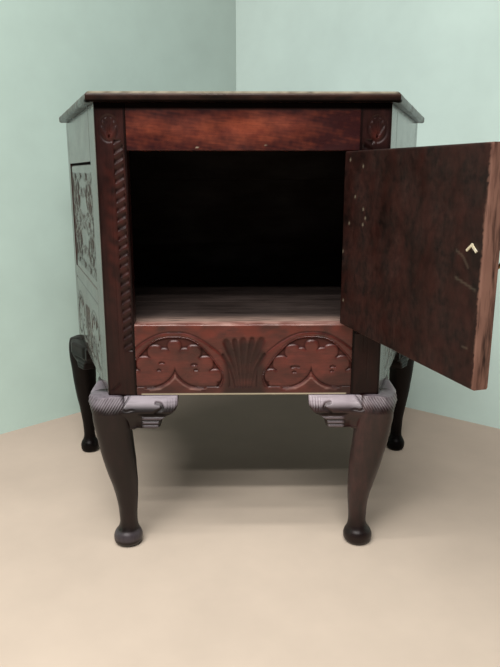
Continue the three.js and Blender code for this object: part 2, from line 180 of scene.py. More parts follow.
def blurred(values, reach):
    """A running mean over a grid, to tell ridges from hollows."""
    out = values
    for axis in (0, 1):
        pad = [(0, 0), (0, 0)]
        pad[axis] = (reach + 1, reach)
        total = np.cumsum(np.pad(out, pad, mode="edge"), axis=axis)
        width = 2 * reach + 1
        high = np.take(total, range(width, total.shape[axis]), axis=axis)
        low = np.take(total, range(0, total.shape[axis] - width), axis=axis)
        out = (high - low) / width
    return out


rim_shares = (0.0, 0.12, 0.3, 0.6)


def spaced(length, step, rim):
    """Grid lines across a length, close together beside both edges."""
    count = max(3, int(round((length - 2 * rim) / step)) + 1)
    edge = np.array(rim_shares) * rim
    return np.concatenate([edge, np.linspace(rim, length - rim, count), length - edge[::-1]])


def rim_drop(u, v, size, rim):
    """How far an eased arris lies below the face."""
    beside = np.clip(rim - np.minimum(u, size[0] - u), 0, rim)
    below = np.clip(rim - np.minimum(v, size[1] - v), 0, rim)
    near = np.clip(np.hypot(beside, below), 0, rim)
    return rim - np.sqrt(np.maximum(rim ** 2 - near ** 2, 0.0))


def grid_faces(rows, columns, offset=0, flip=False):
    i, j = np.meshgrid(np.arange(rows - 1), np.arange(columns - 1), indexing="ij")
    a = (offset + i * columns + j).ravel()
    quads = np.stack([a, a + columns, a + columns + 1, a + 1], 1)
    return (quads[:, ::-1] if flip else quads).tolist()


def perimeter(rows, columns, offset=0):
    """Indices round a grid: along the first line, up the last column, and back."""
    first = [i * columns for i in range(rows)]
    top = [(rows - 1) * columns + j for j in range(1, columns)]
    last = [i * columns + columns - 1 for i in range(rows - 2, -1, -1)]
    bottom = [j for j in range(columns - 2, 0, -1)]
    return [offset + k for k in first + top + last + bottom]


def board(name, origin, u_axis, size, thickness, body, slot, material, relief=None, step=2.5, rim=0.9, nodes=(),
          back_run=(0.0, 0.0), two_faced=False, grain_turn=False, seed=0, v_axis=up_axis, uneven=0.16, ridge=3,
          worn_top=0.0, hollow=0.13, extra=None):
    """A board with a carved or plain front face. The face's normal is u_axis x v_axis."""
    u_axis = np.asarray(u_axis, float)
    v_axis = np.asarray(v_axis, float)
    normal = np.cross(u_axis, v_axis)
    us = spaced(size[0], step, rim)
    vs = spaced(size[1], step, rim)
    u, v = np.meshgrid(us, vs, indexing="ij")
    carved = relief(u, v) if relief else np.zeros_like(u)
    drop = rim_drop(u, v, size, rim)
    height = carved + wander(u, v, seed, uneven) * ease(np.minimum(np.minimum(u, size[0] - u),
                                                                  np.minimum(v, size[1] - v)) / 6.0) - drop
    height = np.minimum(height, 0.0) if thickness else height
    reach = max(1, int(round(ridge / step)))
    # The wear mark: higher on ridges and rounded arrises (wear, partly painted highlight), lower in carved hollows by
    # their depth (dirt and painted shade).
    wear_and_painted_light = np.clip((height - blurred(height, reach)) * 0.4, -0.5, 0.16) + 0.6 * ease(drop / rim * 1.4)
    wear_and_painted_light -= hollow * np.clip(-carved - 0.4, 0, 3.0)
    origin = np.asarray(origin, float)
    front = origin + u[..., None] * u_axis + v[..., None] * v_axis + height[..., None] * normal
    rows, columns = u.shape
    count = rows * columns
    back_u = back_run[0] + u / size[0] * (size[0] - back_run[0] - back_run[1])
    faces = grid_faces(rows, columns)
    rng = np.random.default_rng(seed + 1000)
    shift = rng.uniform(-4, 4, 3)
    grain = np.stack([u, v, -height], -1) * MM
    if grain_turn:
        grain = grain[..., [1, 0, 2]]
    if two_faced:
        lift = np.minimum(wander(u, v, seed + 7, uneven), 0.0) - drop
        back = origin + back_u[..., None] * u_axis + v[..., None] * v_axis - (thickness + lift)[..., None] * normal
        points = np.concatenate([front.reshape(-1, 3), back.reshape(-1, 3)])
        faces += grid_faces(rows, columns, count, flip=True)
        outer = perimeter(rows, columns)
        inner = perimeter(rows, columns, count)
        grain = np.concatenate([grain.reshape(-1, 3), grain.reshape(-1, 3) + np.array([0.0, 0.0, thickness * MM])])
        wear_and_painted_light = np.concatenate([wear_and_painted_light.ravel(), (0.7 * ease(drop / rim * 1.4)).ravel()])
    else:
        outer = perimeter(rows, columns)
        ring = [k for k in outer]
        flat_u = back_u.ravel()[ring]
        flat_v = v.ravel()[ring]
        ring_points = origin + flat_u[:, None] * u_axis + flat_v[:, None] * v_axis - thickness * normal
        centre = ring_points.mean(0)
        points = np.concatenate([front.reshape(-1, 3), ring_points, [centre]])
        inner = list(range(count, count + len(ring)))
        middle = count + len(ring)
        faces += [[inner[k], inner[(k + 1) % len(ring)], middle] for k in range(len(ring))]
        ring_grain = np.stack([flat_u, flat_v, np.full(len(ring), thickness)], -1) * MM
        if grain_turn:
            ring_grain = ring_grain[:, [1, 0, 2]]
        grain = np.concatenate([grain.reshape(-1, 3), ring_grain, [ring_grain.mean(0)]])
        wear_and_painted_light[:, -1] = np.maximum(wear_and_painted_light[:, -1], worn_top)
        ring_wear = np.where(flat_v > size[1] - 1e-6, worn_top, 0.0)
        wear_and_painted_light = np.concatenate([wear_and_painted_light.ravel(), ring_wear, [0.0]])
    size_of_ring = len(outer)
    for k in range(size_of_ring):
        after = (k + 1) % size_of_ring
        faces.append([outer[after], outer[k], inner[k], inner[after]])
    marks = {"grain": grain + shift, "wear_and_painted_light": wear_and_painted_light}
    for key, field in (extra or {}).items():
        values = field(u, v)
        if key == "wear_and_painted_light":
            marks[key][:count] += values.ravel()
        else:
            marks[key] = np.concatenate([values.ravel(), np.zeros(len(points) - count)])
    return add_piece(name, points, faces, body, material, nodes, marks)


# Materials


class Shader:
    """Builds one procedural material around a Principled shader."""

    def __init__(self, name):
        self.material = bpy.data.materials.new(name)
        self.material.use_nodes = True
        self.tree = self.material.node_tree
        self.shader = self.tree.nodes["Principled BSDF"]

    def put(self, node, key, value):
        socket = node.inputs[key]
        if isinstance(value, bpy.types.NodeSocket):
            self.tree.links.new(value, socket)
        else:
            socket.default_value = value

    def node(self, kind, **inputs):
        made = self.tree.nodes.new(kind)
        for key, value in inputs.items():
            self.put(made, key.replace("_", " "), value)
        return made

    def attribute(self, name, output):
        made = self.tree.nodes.new("ShaderNodeAttribute")
        made.attribute_name = name
        return made.outputs[output]

    def object_point(self):
        return self.tree.nodes.new("ShaderNodeTexCoord").outputs["Object"]

    def scaled(self, vector, scale):
        return self.node("ShaderNodeMapping", Vector=vector, Scale=scale).outputs["Vector"]

    def noise(self, vector, scale=1.0, detail=4.0, roughness=0.55, distortion=0.0):
        made = self.node("ShaderNodeTexNoise", Vector=vector, Scale=scale, Detail=detail,
                         Roughness=roughness, Distortion=distortion)
        return made.outputs["Fac"]

    def stretch(self, value, low, high, out_low=0.0, out_high=1.0):
        made = self.node("ShaderNodeMapRange", Value=value)
        for index, number in enumerate((low, high, out_low, out_high), 1):
            made.inputs[index].default_value = number
        return made.outputs["Result"]

    def math(self, operation, a, b):
        made = self.tree.nodes.new("ShaderNodeMath")
        made.operation = operation
        for index, value in enumerate((a, b)):
            self.put(made, index, value)
        return made.outputs["Value"]

    def mix(self, factor, a, b, blend="MIX"):
        made = self.tree.nodes.new("ShaderNodeMix")
        made.data_type = "RGBA"
        made.blend_type = blend
        for index, value in ((0, factor), (6, a), (7, b)):
            if not isinstance(value, bpy.types.NodeSocket) and index:
                value = (*value, 1.0)
            self.put(made, index, value)
        return made.outputs[2]

    def bump(self, height, strength, distance, normal=None):
        made = self.node("ShaderNodeBump", Height=height, Strength=strength, Distance=distance)
        if normal:
            self.tree.links.new(normal, made.inputs["Normal"])
        return made.outputs["Normal"]

    def set(self, **inputs):
        for key, value in inputs.items():
            if isinstance(value, tuple) and len(value) == 3:
                value = (*value, 1.0)
            self.put(self.shader, key.replace("_", " "), value)
        return self


def srgb(red, green, blue):
    """A display colour, 0 to 255, as scene-linear numbers."""
    def linear(value):
        value /= 255.0
        return value / 12.92 if value <= 0.04045 else ((value + 0.055) / 1.055) ** 2.4
    return tuple(linear(value) for value in (red, green, blue))


def wood(name, dark, light, worn, gloss=0.3, patchy=0.5, tint=(1.0, 0.93, 0.9), level=0.5, cavity=0.9,
         own_point=False, worn_share=0.45, cloudy=0.2, stain_and_shade_colour=None, blush_and_sheen=(0.1, 0.02, 0.012),
         cloud_scale=(34.0, 75.0, 75.0), blotch_scale=(9.0, 20.0, 20.0), scuffed=(0.25, 0.55)):
    """Old polished wood: long figure, fine pores, blotches, dull dirt and painted shade in the hollows, wear and
    painted highlights on the edges.
    """
    stain_and_shade_colour = stain_and_shade_colour or tuple(channel * 0.5 for channel in dark)
    made = Shader(name)
    point = made.object_point() if own_point else made.attribute("grain", "Vector")
    figure = made.noise(made.scaled(point, (3.0, 55.0, 55.0)), 1.0, 5.0, 0.6, 0.35)
    streaks = made.noise(made.scaled(point, (9.0, 420.0, 420.0)), 1.0, 3.0, 0.6)
    fine = made.noise(made.scaled(point, (45.0, 1500.0, 1500.0)), 1.0, 2.0, 0.5)
    blotch = made.noise(made.scaled(point, blotch_scale), 1.0, 4.0, 0.6)
    cloud = made.noise(made.scaled(point, cloud_scale), 1.0, 6.0, 0.66)
    tone = made.math("ADD", made.math("MULTIPLY", figure, 0.55 * (1 - cloudy)),
                     made.math("MULTIPLY", streaks, 0.45 * (1 - cloudy)))
    tone = made.stretch(made.math("ADD", tone, made.math("MULTIPLY", cloud, cloudy)), 0.34, 0.66)
    colour = made.mix(tone, dark, light)
    shade = made.stretch(blotch, 0.34, 0.66, 1.0 - 0.62 * patchy, 1.0 + 0.3 * patchy)
    grey = made.node("ShaderNodeCombineColor", Red=shade, Green=shade, Blue=shade).outputs["Color"]
    colour = made.mix(1.0, colour, grey, "MULTIPLY")
    pore = made.stretch(fine, 0.3, 0.44, 0.55, 1.0)
    pore_grey = made.node("ShaderNodeCombineColor", Red=pore, Green=pore, Blue=pore).outputs["Color"]
    colour = made.mix(0.8, colour, pore_grey, "MULTIPLY")
    rough = made.stretch(blotch, 0.3, 0.7, gloss * 0.75, gloss * 1.4)
    shine = level
    if not own_point:
        wear_and_painted_light = made.attribute("wear_and_painted_light", "Fac")
        scuff = made.noise(made.scaled(point, (22.0, 210.0, 210.0)), 1.0, 3.0, 0.6)
        rubbed = made.math("MULTIPLY", made.stretch(wear_and_painted_light, 0.12, 0.75), made.stretch(scuff, *scuffed))
        colour = made.mix(made.math("MULTIPLY", rubbed, worn_share), colour, worn)
        stain_and_shade = made.attribute("stain_and_shade", "Fac")
        painted_shade = made.attribute("painted_shade", "Fac")
        # Redder where the blush mark is set: the wood's own tone on most boards, painted sheen on the front stiles.
        colour = made.mix(made.attribute("blush_and_sheen", "Fac"), colour, blush_and_sheen)
        # Darker where the stain mark is set: partly stain, partly painted shade of the open door; on the rail its gaps
        # give a painted sheen.
        colour = made.mix(stain_and_shade, colour, stain_and_shade_colour)
        # Pale raw wood where the bare mark is set: chips and worn arrises, and a painted highlight on the top board's
        # front arris.
        colour = made.mix(made.attribute("bare_and_highlight", "Fac"), colour, bare_wood)
        # Where the wear mark is low the wood turns darker, rougher and less shiny: dirt, and painted shade in hollows
        # and cuts.
        dirt_and_shade = made.stretch(wear_and_painted_light, -0.06, -0.6, 0.0, cavity)
        colour = made.mix(dirt_and_shade, colour, tuple(channel * 0.22 for channel in dark))
        rough = made.math("ADD", rough, made.math("MULTIPLY", dirt_and_shade, 0.3))
        # Painted shade: near black and matt where the painted shade mark is set.
        colour = made.mix(painted_shade, colour, (0.0015, 0.0012, 0.0012))
        rough = made.math("MAXIMUM", rough, painted_shade)
        dull = made.math("MAXIMUM", painted_shade, made.math("MULTIPLY", stain_and_shade, 0.5))
        shine = made.stretch(made.math("MAXIMUM", dirt_and_shade, dull), 0.0, 1.0, level, level * 0.08)
    normal = made.bump(made.math("ADD", made.math("MULTIPLY", streaks, 0.7), fine), 0.3, 0.00012)
    normal = made.bump(blotch, 0.3, 0.0011, normal)
    made.set(Base_Color=colour, Roughness=rough, Normal=normal, IOR=1.5, Specular_IOR_Level=shine,
             Specular_Tint=tint)
    return made.material


bare_wood = srgb(206, 196, 168)
# The case wood's blush colour is the front stiles' painted sheen.
case_wood = wood("case_wood_finish", srgb(21, 9, 9), srgb(52, 24, 21), srgb(132, 92, 84), level=0.25, cloudy=0.5,
                 blush_and_sheen=srgb(78, 32, 25), cavity=0.7)
# The rail's own colours are bright reds; the rail's stain mark leaves them only in its patches of painted sheen.
rail_wood = wood("rail_wood_finish", srgb(92, 34, 26), srgb(156, 76, 50), srgb(150, 96, 74), patchy=0.25, cloudy=0.6,
                 stain_and_shade_colour=srgb(40, 18, 21), level=0.42, cloud_scale=(30.0, 40.0, 40.0))
apron_wood = wood("apron_wood_finish", srgb(58, 22, 18), srgb(104, 46, 38), srgb(206, 162, 148), worn_share=0.85,
                  cloudy=0.6, patchy=0.7, stain_and_shade_colour=srgb(36, 26, 23), blush_and_sheen=srgb(112, 40, 26))
side_wood = wood("side_wood_finish", srgb(38, 22, 18), srgb(70, 44, 36), srgb(126, 98, 80), gloss=0.14, level=0.5,
                 cavity=0.6)
side_edge_wood = wood("side_edge_finish", srgb(36, 19, 14), srgb(66, 38, 28), srgb(140, 104, 82), gloss=0.16, level=0.5,
                      own_point=True)
# The front legs' pale lilac worn colours are partly wear and partly painted highlight on the knees and ears.
leg_finishes = {
    "left": wood("leg_wood_left_finish", srgb(10, 5, 5), srgb(30, 15, 14), srgb(194, 180, 190), gloss=0.38,
                 level=0.4, worn_share=0.44, cloudy=0.5, patchy=1.0, scuffed=(-0.2, 0.5)),
    "right": wood("leg_wood_right_finish", srgb(18, 9, 9), srgb(66, 36, 34), srgb(206, 190, 198), gloss=0.38,
                  level=0.54, worn_share=0.52, cloudy=0.6, patchy=1.0, scuffed=(-0.2, 0.5)),
}
# A darker, duller copy of the leg wood for the rear legs and their ears: painted shade.
rear_leg_wood_shaded = wood("rear_leg_wood_shaded_finish", srgb(8, 5, 5), srgb(20, 13, 12), srgb(54, 47, 45), gloss=0.4, level=0.13)
top_wood = wood("top_wood_finish", srgb(22, 12, 9), srgb(60, 35, 25), srgb(140, 108, 88), patchy=1.0, cloudy=0.8,
                level=0.27)
door_wood = wood("door_wood_finish", srgb(13, 8, 7), srgb(52, 31, 26), srgb(134, 98, 84), gloss=0.5, worn_share=0.85,
                 patchy=0.55, level=0.22, cloudy=0.9, blush_and_sheen=srgb(60, 26, 20), cloud_scale=(80.0, 80.0, 80.0),
                 blotch_scale=(13.0, 15.0, 15.0))
inside_wood = wood("inside_wood_finish", srgb(34, 27, 24), srgb(84, 70, 64), srgb(186, 154, 138), gloss=0.6,
                   level=0.4, worn_share=0.8)
back_wood = wood("back_wood_finish", srgb(14, 10, 8), srgb(30, 23, 19), srgb(90, 70, 56), gloss=0.75, level=0.3,
                 blush_and_sheen=srgb(104, 82, 64))
# Near black for the solids hidden inside the case: painted shade.
hidden_wood_shaded = wood("hidden_wood_shaded_finish", srgb(4, 3, 3), srgb(9, 7, 6), srgb(90, 72, 58), gloss=0.8,
                   level=0.05, own_point=True)


def metal(name, dark, light, gloss, metallic=1.0):
    """Old worked metal: blotches of tarnish and small dents."""
    made = Shader(name)
    point = made.object_point()
    blotch = made.noise(point, 260.0, 4.0, 0.6)
    dents = made.noise(point, 900.0, 2.0, 0.5)
    tone = made.stretch(blotch, 0.35, 0.68)
    rough = made.stretch(blotch, 0.3, 0.7, gloss * 1.4, gloss * 0.8)
    normal = made.bump(dents, 0.35, 0.00015)
    made.set(Base_Color=made.mix(tone, dark, light), Roughness=rough, Normal=normal, Metallic=metallic)
    return made.material


brass = metal("aged_brass", srgb(96, 70, 38), srgb(176, 140, 84), 0.34)
pin_brass = metal("rubbed_brass_pin", srgb(206, 190, 150), srgb(244, 236, 214), 0.5, metallic=0.25)
iron = metal("blackened_iron", srgb(24, 21, 20), srgb(70, 62, 56), 0.45)

# Carving


def scoop(distance, width, depth):
    """A rounded gouge cut."""
    return -depth * np.sqrt(np.maximum(1.0 - (distance / width) ** 2, 0.0))


def vee(distance, width, depth):
    """A cut with straight walls, softened at its lips."""
    return -depth * ease(1.0 - distance / width)


# A lunette, from its middle and its foot: half of it, mirrored
arch_outer = ((0, 92.3), (18, 91), (33, 86), (49, 77), (63, 66.5), (71, 59.5), (77, 53), (82, 45), (86, 34),
              (87.8, 20), (88.3, 1))
arch_inner = ((0, 84.6), (10, 84.3), (25, 81), (38, 73.5), (49, 63), (60, 51), (69, 37.5), (76, 27), (78.5, 17),
              (76, 6), (73, 1))
lobe_spots = ((0, 68.0, 11.6), (17, 56.0, 11.0), (31, 59.4, 12.8), (49.5, 40.0, 13.6), (64.5, 19.2, 12.4))
leaf_body = ((0, 70), (16, 60), (30, 62), (44, 48), (52, 44), (60, 24), (68, 18), (70, 6), (66, -4), (38.5, -4),
             (-5, -4), (-5, 70))
cusp_disc = (42.0, 45.3, 45.8)
below_foot = -12.0
ground_depth = 2.6
lunette_foot = 285.0


def signed_region(u, v, outline):
    """Distance to a closed outline, negative inside."""
    outline = np.asarray(outline, float)
    closed = np.vstack([outline, outline[:1]])
    away, _, _ = line_distance(u, v, closed)
    inside = np.zeros(np.shape(u), bool)
    for a, b in zip(closed[:-1], closed[1:]):
        if a[1] == b[1]:
            continue
        crosses = (a[1] > v) != (b[1] > v)
        at = a[0] + (v - a[1]) / (b[1] - a[1]) * (b[0] - a[0])
        inside ^= crosses & (u < at)
    return np.where(inside, -away, away)


def lunette(u, v, eyes):
    """Relief of one lunette, over coordinates from its middle and foot."""
    side = np.abs(u)
    rim = curve_through(arch_outer, 40)
    bow = curve_through(arch_inner, 44)
    outer = signed_region(side, v, np.vstack([rim, [(rim[-1][0], below_foot), (-5.0, below_foot), (-5.0, 92.3)]]))
    inside = signed_region(side, v, np.vstack([bow, [(bow[-1][0], below_foot), (-5.0, below_foot), (-5.0, 84.6)]]))
    # A band between the two bows, with both its edges turned down
    band = (outer < 0) & (inside >= 0)
    chamfer = np.where(-outer < inside, -1.3 * np.clip(1 + outer / 3.4, 0, 1), -1.3 * np.clip(1 - inside / 2.6, 0, 1))
    height = -1.3 * ease(1 - outer / 2.6) * (outer >= 0)
    height = np.where(band, chamfer, height)
    leaf_edge = signed_region(side, v, leaf_body)
    for x, z, radius in lobe_spots:
        square = (np.abs(side - x) ** 2.5 + np.abs(v - z) ** 2.5) ** 0.4 - radius
        leaf_edge = np.minimum(leaf_edge, square)
    x, z, radius = cusp_disc
    spandrel = np.where((side < x) & (v < z), circle_distance(side, v, (x, z), radius), z - radius - v)
    leaf_edge = np.where(v < z, np.maximum(leaf_edge, spandrel), leaf_edge)
    edge = np.clip(-leaf_edge, 0, None)
    raised = np.clip(edge / 3.3, 0, 1) * 0.85 + 0.15 * ease(edge / 8.0)
    field = -ground_depth * ease(-inside / 3.0)
    sunk = field + raised * (-field - 0.3)
    # Under the leaf the ground slopes back up to the rail's face and catches the light
    lip = 0.12 + 0.88 * ease((52 - side) / 7)
    slope = -2.6 * lip * np.clip(1 - spandrel / 6.4, 0, 1) ** 1.3
    height = np.where(inside < 0, sunk, height)
    height = np.where((spandrel > 0) & (side < 75) & (v < z), slope, height * ease((v + 1.4) / 3.0))
    for x, z, half, width in eyes:
        away, _, _ = line_distance(u, v, ((x - half, z - 0.4), (x, z + 0.8), (x + half, z - 0.4)))
        height += scoop(away, width * 1.25, 1.3)
    return height


petals = (
    ((-1.0, 1), (-1.0, 79), 2.6, 5.6),
    ((-5.5, 1), (-14.5, 78), 2.2, 4.6),
    ((4.0, 1), (13.5, 80), 2.2, 4.6),
    ((-9.5, 1), (-28.0, 76), 2.4, 5.8),
    ((8.0, 1), (28.5, 79), 2.4, 6.0),
    ((-13.5, 1), (-34.0, 54), 1.8, 3.4),
    ((11.5, 1), (33.5, 55), 1.8, 3.4),
)


def palmette(u, v):
    """Relief of the fan between two lunettes: fluted petals, each with a thin raised rim."""
    height = np.zeros_like(u)
    for low, high, thin, wide in petals:
        bend = low[0] + 0.3 * (high[0] - low[0])
        away, along, _ = line_distance(u, v, curve_through((low, (bend, 0.5 * (low[1] + high[1])), high), 16))
        width = thin + (wide - thin) * along ** 0.8
        inside = away < width
        flute = scoop(away, width, 1.0 + 1.1 * along)
        height = np.where(inside, np.minimum(height, flute), height)
        rim = vee(np.abs(away - width - 0.5), 0.8, 0.5)
        height = np.where(inside, height, height + rim * (along > 0.25))
    return height


def apron_relief(width, middles, eyes, foot, high):
    """Lunettes with a palmette between them, over a rail's own coordinates; the rail's top arris is worn round."""
    def relief(u, v):
        x = u - width / 2
        z = v - foot
        height = np.zeros_like(u)
        for middle, marks in zip(middles, eyes):
            near = np.abs(x - middle) < 104
            height[near] = np.minimum(height[near], lunette(x[near] - middle, z[near], marks))
        near = np.abs(x) < 44
        height[near] = np.minimum(height[near], palmette(x[near], z[near]))
        worn = np.clip(3.2 - (high - v), 0, 3.2)
        height -= 3.2 - np.sqrt(3.2 ** 2 - worn ** 2)
        return height
    return relief


def apron_stain_and_shadow(u, v):
    """Darker and browner in the palmette, along the foot and in patches; darker at the right end as painted shadow of
    the open door.
    """
    x = u - doorway_half
    fan = ease((40 - np.abs(x)) / 14.0) * ease((100 - v) / 16.0)
    foot = ease((26 - v) / 20.0)
    patches = 0.5 + wander(u, v, 91, 0.3) + wander(u * 2.3, v * 2.3, 92, 0.3)
    right = ease((x - 125) / 45.0)
    return np.clip(0.62 * fan + 0.32 * foot + 0.36 * patches + 0.2 * right - 0.06, 0, 0.85)


def apron_bare(u, v):
    return 0.7 * ease((3.4 - v) / 1.4) * ease((168 - np.abs(u - doorway_half)) / 3)


def apron_blush(u, v):
    """Redder varnish above the lunettes and on their leaves."""
    clouds = np.clip(0.5 + wander(u * 2.0, v * 2.0, 93, 0.4) + wander(u * 4.0, v * 4.0, 94, 0.35), 0, 1)
    return 0.55 * clouds * (0.35 * ease((v - 22) / 30) + 0.65 * ease((v - 88) / 16))


def apron_wear_and_highlight(u, v):
    """Paler worn top arris; painted highlights on the slopes under the leaves and in short lips at the lunettes' feet.
    """
    x = u - doorway_half
    z = v - (lunette_foot - leg_height)
    light = 0.5 * ease((v - (floor_top - leg_height - 3.2)) / 1.6)
    for middle in lunette_middles:
        side = np.abs(x - middle)
        spandrel = np.where((side < cusp_disc[0]) & (z < cusp_disc[1]),
                            circle_distance(side, z, cusp_disc[:2], cusp_disc[2]), z - cusp_disc[1] - cusp_disc[2] - z)
        near = (side < cusp_disc[0]) & (z < cusp_disc[1]) & (spandrel > 0)
        light = np.where(near, np.maximum(light, 0.3 * ease(1 - (spandrel - 4.0) / 3.5)), light)
        low = ease((17 - np.abs(side - 36)) / 7) * ease((3.0 - np.abs(z + 2.2)) / 1.6)
        light = np.maximum(light, 0.4 * low)
    return light


# Fronts of the case
lunette_middles = (-111.5, 109.0)
rope_pitch = 14.3
rope_half = 7.6
rope_depth = 2.2


def stile_relief(mirror):
    """Rope of diagonal gouges beside the doorway, an oval leaf at the head, one gouge at the foot."""
    def relief(u, v):
        x = (stile_width - u) if mirror else u
        z = v + leg_height
        height = np.zeros_like(u)
        lean = 2.0 * (670.0 - z) / 320.0
        middle = 33.5 + lean
        along = np.clip((x - middle) / rope_half, -1, 1)
        turn = (z - 352.0 - 4.6 * along) / rope_pitch
        share = turn - np.floor(turn)
        # Each strand rolls over its crest and turns down faster at its upper side
        crest = share ** 0.8
        cable = -rope_depth * (0.5 - 0.5 * np.cos(2 * math.pi * crest)) ** 1.2 - 0.5 * along ** 2
        rope_foot = 374 if mirror else 345
        held = ease((rope_half - np.abs(x - middle)) / 1.6) * ease((z - rope_foot) / 3) * ease((673 - z) / 3)
        height = cable * held
        height += vee(np.abs(np.abs(x - middle) - rope_half), 1.2, 0.6) * ease((z - 342) / 4) * ease((676 - z) / 4)
        line = np.abs(x - 20.6)
        height += vee(line, 1.0, 0.45) * ease((z - 285) / 8) * ease((672 - z) / 8)
        side_line = np.abs(x - 43.4)
        height += vee(side_line, 0.9, 0.45) * ease((z - 300) / 8) * ease((705 - z) / 8)
        oval = np.hypot((x - 20.5) / 13.5, (z - 687.0) / 17.5)
        height += vee(np.abs(oval - 1.0) * 14.0, 3.6, 1.1)
        for k in range(5):
            turn = math.radians(42 + 24 * k)
            tip = (20.5 + 11.0 * math.cos(turn), 676 + 24.0 * math.sin(turn))
            away, along, _ = line_distance(x, z, ((20.5, 674.0), tip))
            height += scoop(away, 0.6 + 2.4 * along, 1.2) * (oval < 0.95)
        if not mirror:
            away, along, _ = line_distance(x, z, ((6.5, 280.5), (12, 284.5), (18.5, 292.0)))
            height += scoop(away, 2.2, 1.1)
        return height
    return relief


# Gouged marks within each lunette: place, half length and width
front_eyes = (
    ((-20.5, 41.5, 3.2, 1.9), (-25.5, 29.5, 2.2, 1.7), (31.5, 38.5, 3.6, 2.1), (34.0, 29.5, 2.0, 1.7)),
    ((-26.0, 34.0, 6.0, 2.1), (-27.5, 25.6, 2.0, 1.7), (35.0, 34.5, 3.4, 2.0), (33.5, 27.0, 2.2, 1.7)),
)
side_eyes = (((-28, 38, 4, 2.1), (-30, 28, 2.2, 1.8), (28, 38, 4, 2.1), (30, 28, 2.2, 1.8)),) * 2



def under_top(low):
    """Painted shadow beneath the top board's overhang, over a board that starts at a height."""
    def painted_shade(u, v):
        return 0.97 * ease((v + low - 711.0) / 6.0)
    return painted_shade


def stile_stain_and_shade(mirror):
    """Darker along both edges of a stile and toward the left one's foot; darker over most of the right one as painted
    shade of the open door.
    """
    def stain_and_shade(u, v):
        x = (stile_width - u) if mirror else u
        edges = 0.7 * ease(1 - x / 5.0) + 0.8 * ease((x - 41.0) / 3.0)
        clouds = 0.5 + wander(u * 3.0, v * 1.6, 97, 0.3)
        low = ease((400 - v - leg_height) / 90.0)
        head = ease((v + leg_height - 655) / 18.0)
        return np.clip(edges + ((0.4 * clouds + 0.2) * (1 - head) if mirror else 0.15 * low + 0.2 * clouds), 0, 0.95)
    return stain_and_shade


def stile_sheen(mirror):
    """Painted sheen: redder patches within the leaf at the head and down the middle of the left stile."""
    def blush_and_sheen(u, v):
        x = (stile_width - u) if mirror else u
        z = v + leg_height
        head = 0.8 * np.exp(-((x - 22) / 7.0) ** 2 - ((z - 679) / 9.0) ** 2)
        clouds = np.clip(0.5 + wander(u * 4.0, v * 2.4, 98, 0.35) + wander(u * 9.0, v * 6.0, 99, 0.3), 0, 1)
        middle = 0.5 * clouds * np.exp(-((z - 545) / 110.0) ** 2) * ease((x - 6) / 8.0)
        return np.maximum(head, 0.0 if mirror else middle)
    return blush_and_sheen


def rail_sheen_and_shade(u, v):
    """Painted sheen: the rail's colour glows lighter and redder in four patches and stays dark elsewhere, toward its
    ends and its top; a little darker toward the right, as painted shadow of the open door.
    """
    x = u - doorway_half
    z = v + doorway_top
    glow = np.zeros_like(u)
    for middle, level, wide, tall, much in ((6, 688, 46, 17, 1.0), (62, 692, 44, 15, 0.62), (-140, 690, 36, 15, 0.5),
                                            (-66, 684, 56, 19, 0.52)):
        glow = np.maximum(glow, much * np.exp(-((x - middle) / wide) ** 2 - ((z - level) / tall) ** 2))
    mottle = wander(u * 3.4, v * 3.4, 95, 0.5) + wander(u * 9.0, v * 9.0, 96, 0.5)
    right = 0.1 * ease((x - 80.0) / 50.0)
    return np.clip(0.86 + right - 0.98 * glow + 0.15 * mottle, 0.0, 0.95)


def rail_chips(u, v):
    x = u - doorway_half
    z = v + doorway_top
    chips = np.zeros_like(u)
    for place in ((-69, 660.5, 0.5), (33, 664, 0.22)):
        chips = np.maximum(chips, place[2] * ease(1.5 - np.hypot((x - place[0]) / 2.2, z - place[1]) / 0.9))
    return chips


for name, hand in (("left", -1), ("right", 1)):
    start = -half_front + joint_gap / 2 if hand < 0 else doorway_half
    width = stile_width - joint_gap / 2
    run = (mitre_run, 0.0) if hand < 0 else (0.0, mitre_run)
    board(f"carved_front_stile_{name}", (start, 0, leg_height), (1, 0, 0), (width, case_top - leg_height),
          frame_thickness, "case", "case_wood", case_wood, stile_relief(hand > 0), 1.15, 1.2,
          [f"front_stile_{name}"], run, grain_turn=True, seed=11 + hand, hollow=0.05,
          extra={"painted_shade": under_top(leg_height), "stain_and_shade": stile_stain_and_shade(hand > 0), "blush_and_sheen": stile_sheen(hand > 0)})
board("polished_front_top_rail", (-doorway_half, 0, doorway_top), (1, 0, 0), (2 * doorway_half, case_top - doorway_top),
      frame_thickness, "case", "case_wood", rail_wood, None, 1.6, 1.2, ["front_top_rail"], seed=21, uneven=0.3,
      extra={"painted_shade": under_top(doorway_top), "stain_and_shade": rail_sheen_and_shade, "bare_and_highlight": rail_chips})
board("carved_front_apron_rail", (-doorway_half, 0, leg_height), (1, 0, 0), (2 * doorway_half, floor_top - leg_height),
      frame_thickness, "case", "apron_wood", apron_wood,
      apron_relief(2 * doorway_half, lunette_middles, front_eyes, lunette_foot - leg_height, floor_top - leg_height),
      1.0, 1.1, ["front_apron_rail"], seed=31, worn_top=0.6, hollow=0.13,
      extra={"stain_and_shade": apron_stain_and_shadow, "bare_and_highlight": apron_bare, "blush_and_sheen": apron_blush, "wear_and_painted_light": apron_wear_and_highlight})

# Foliage


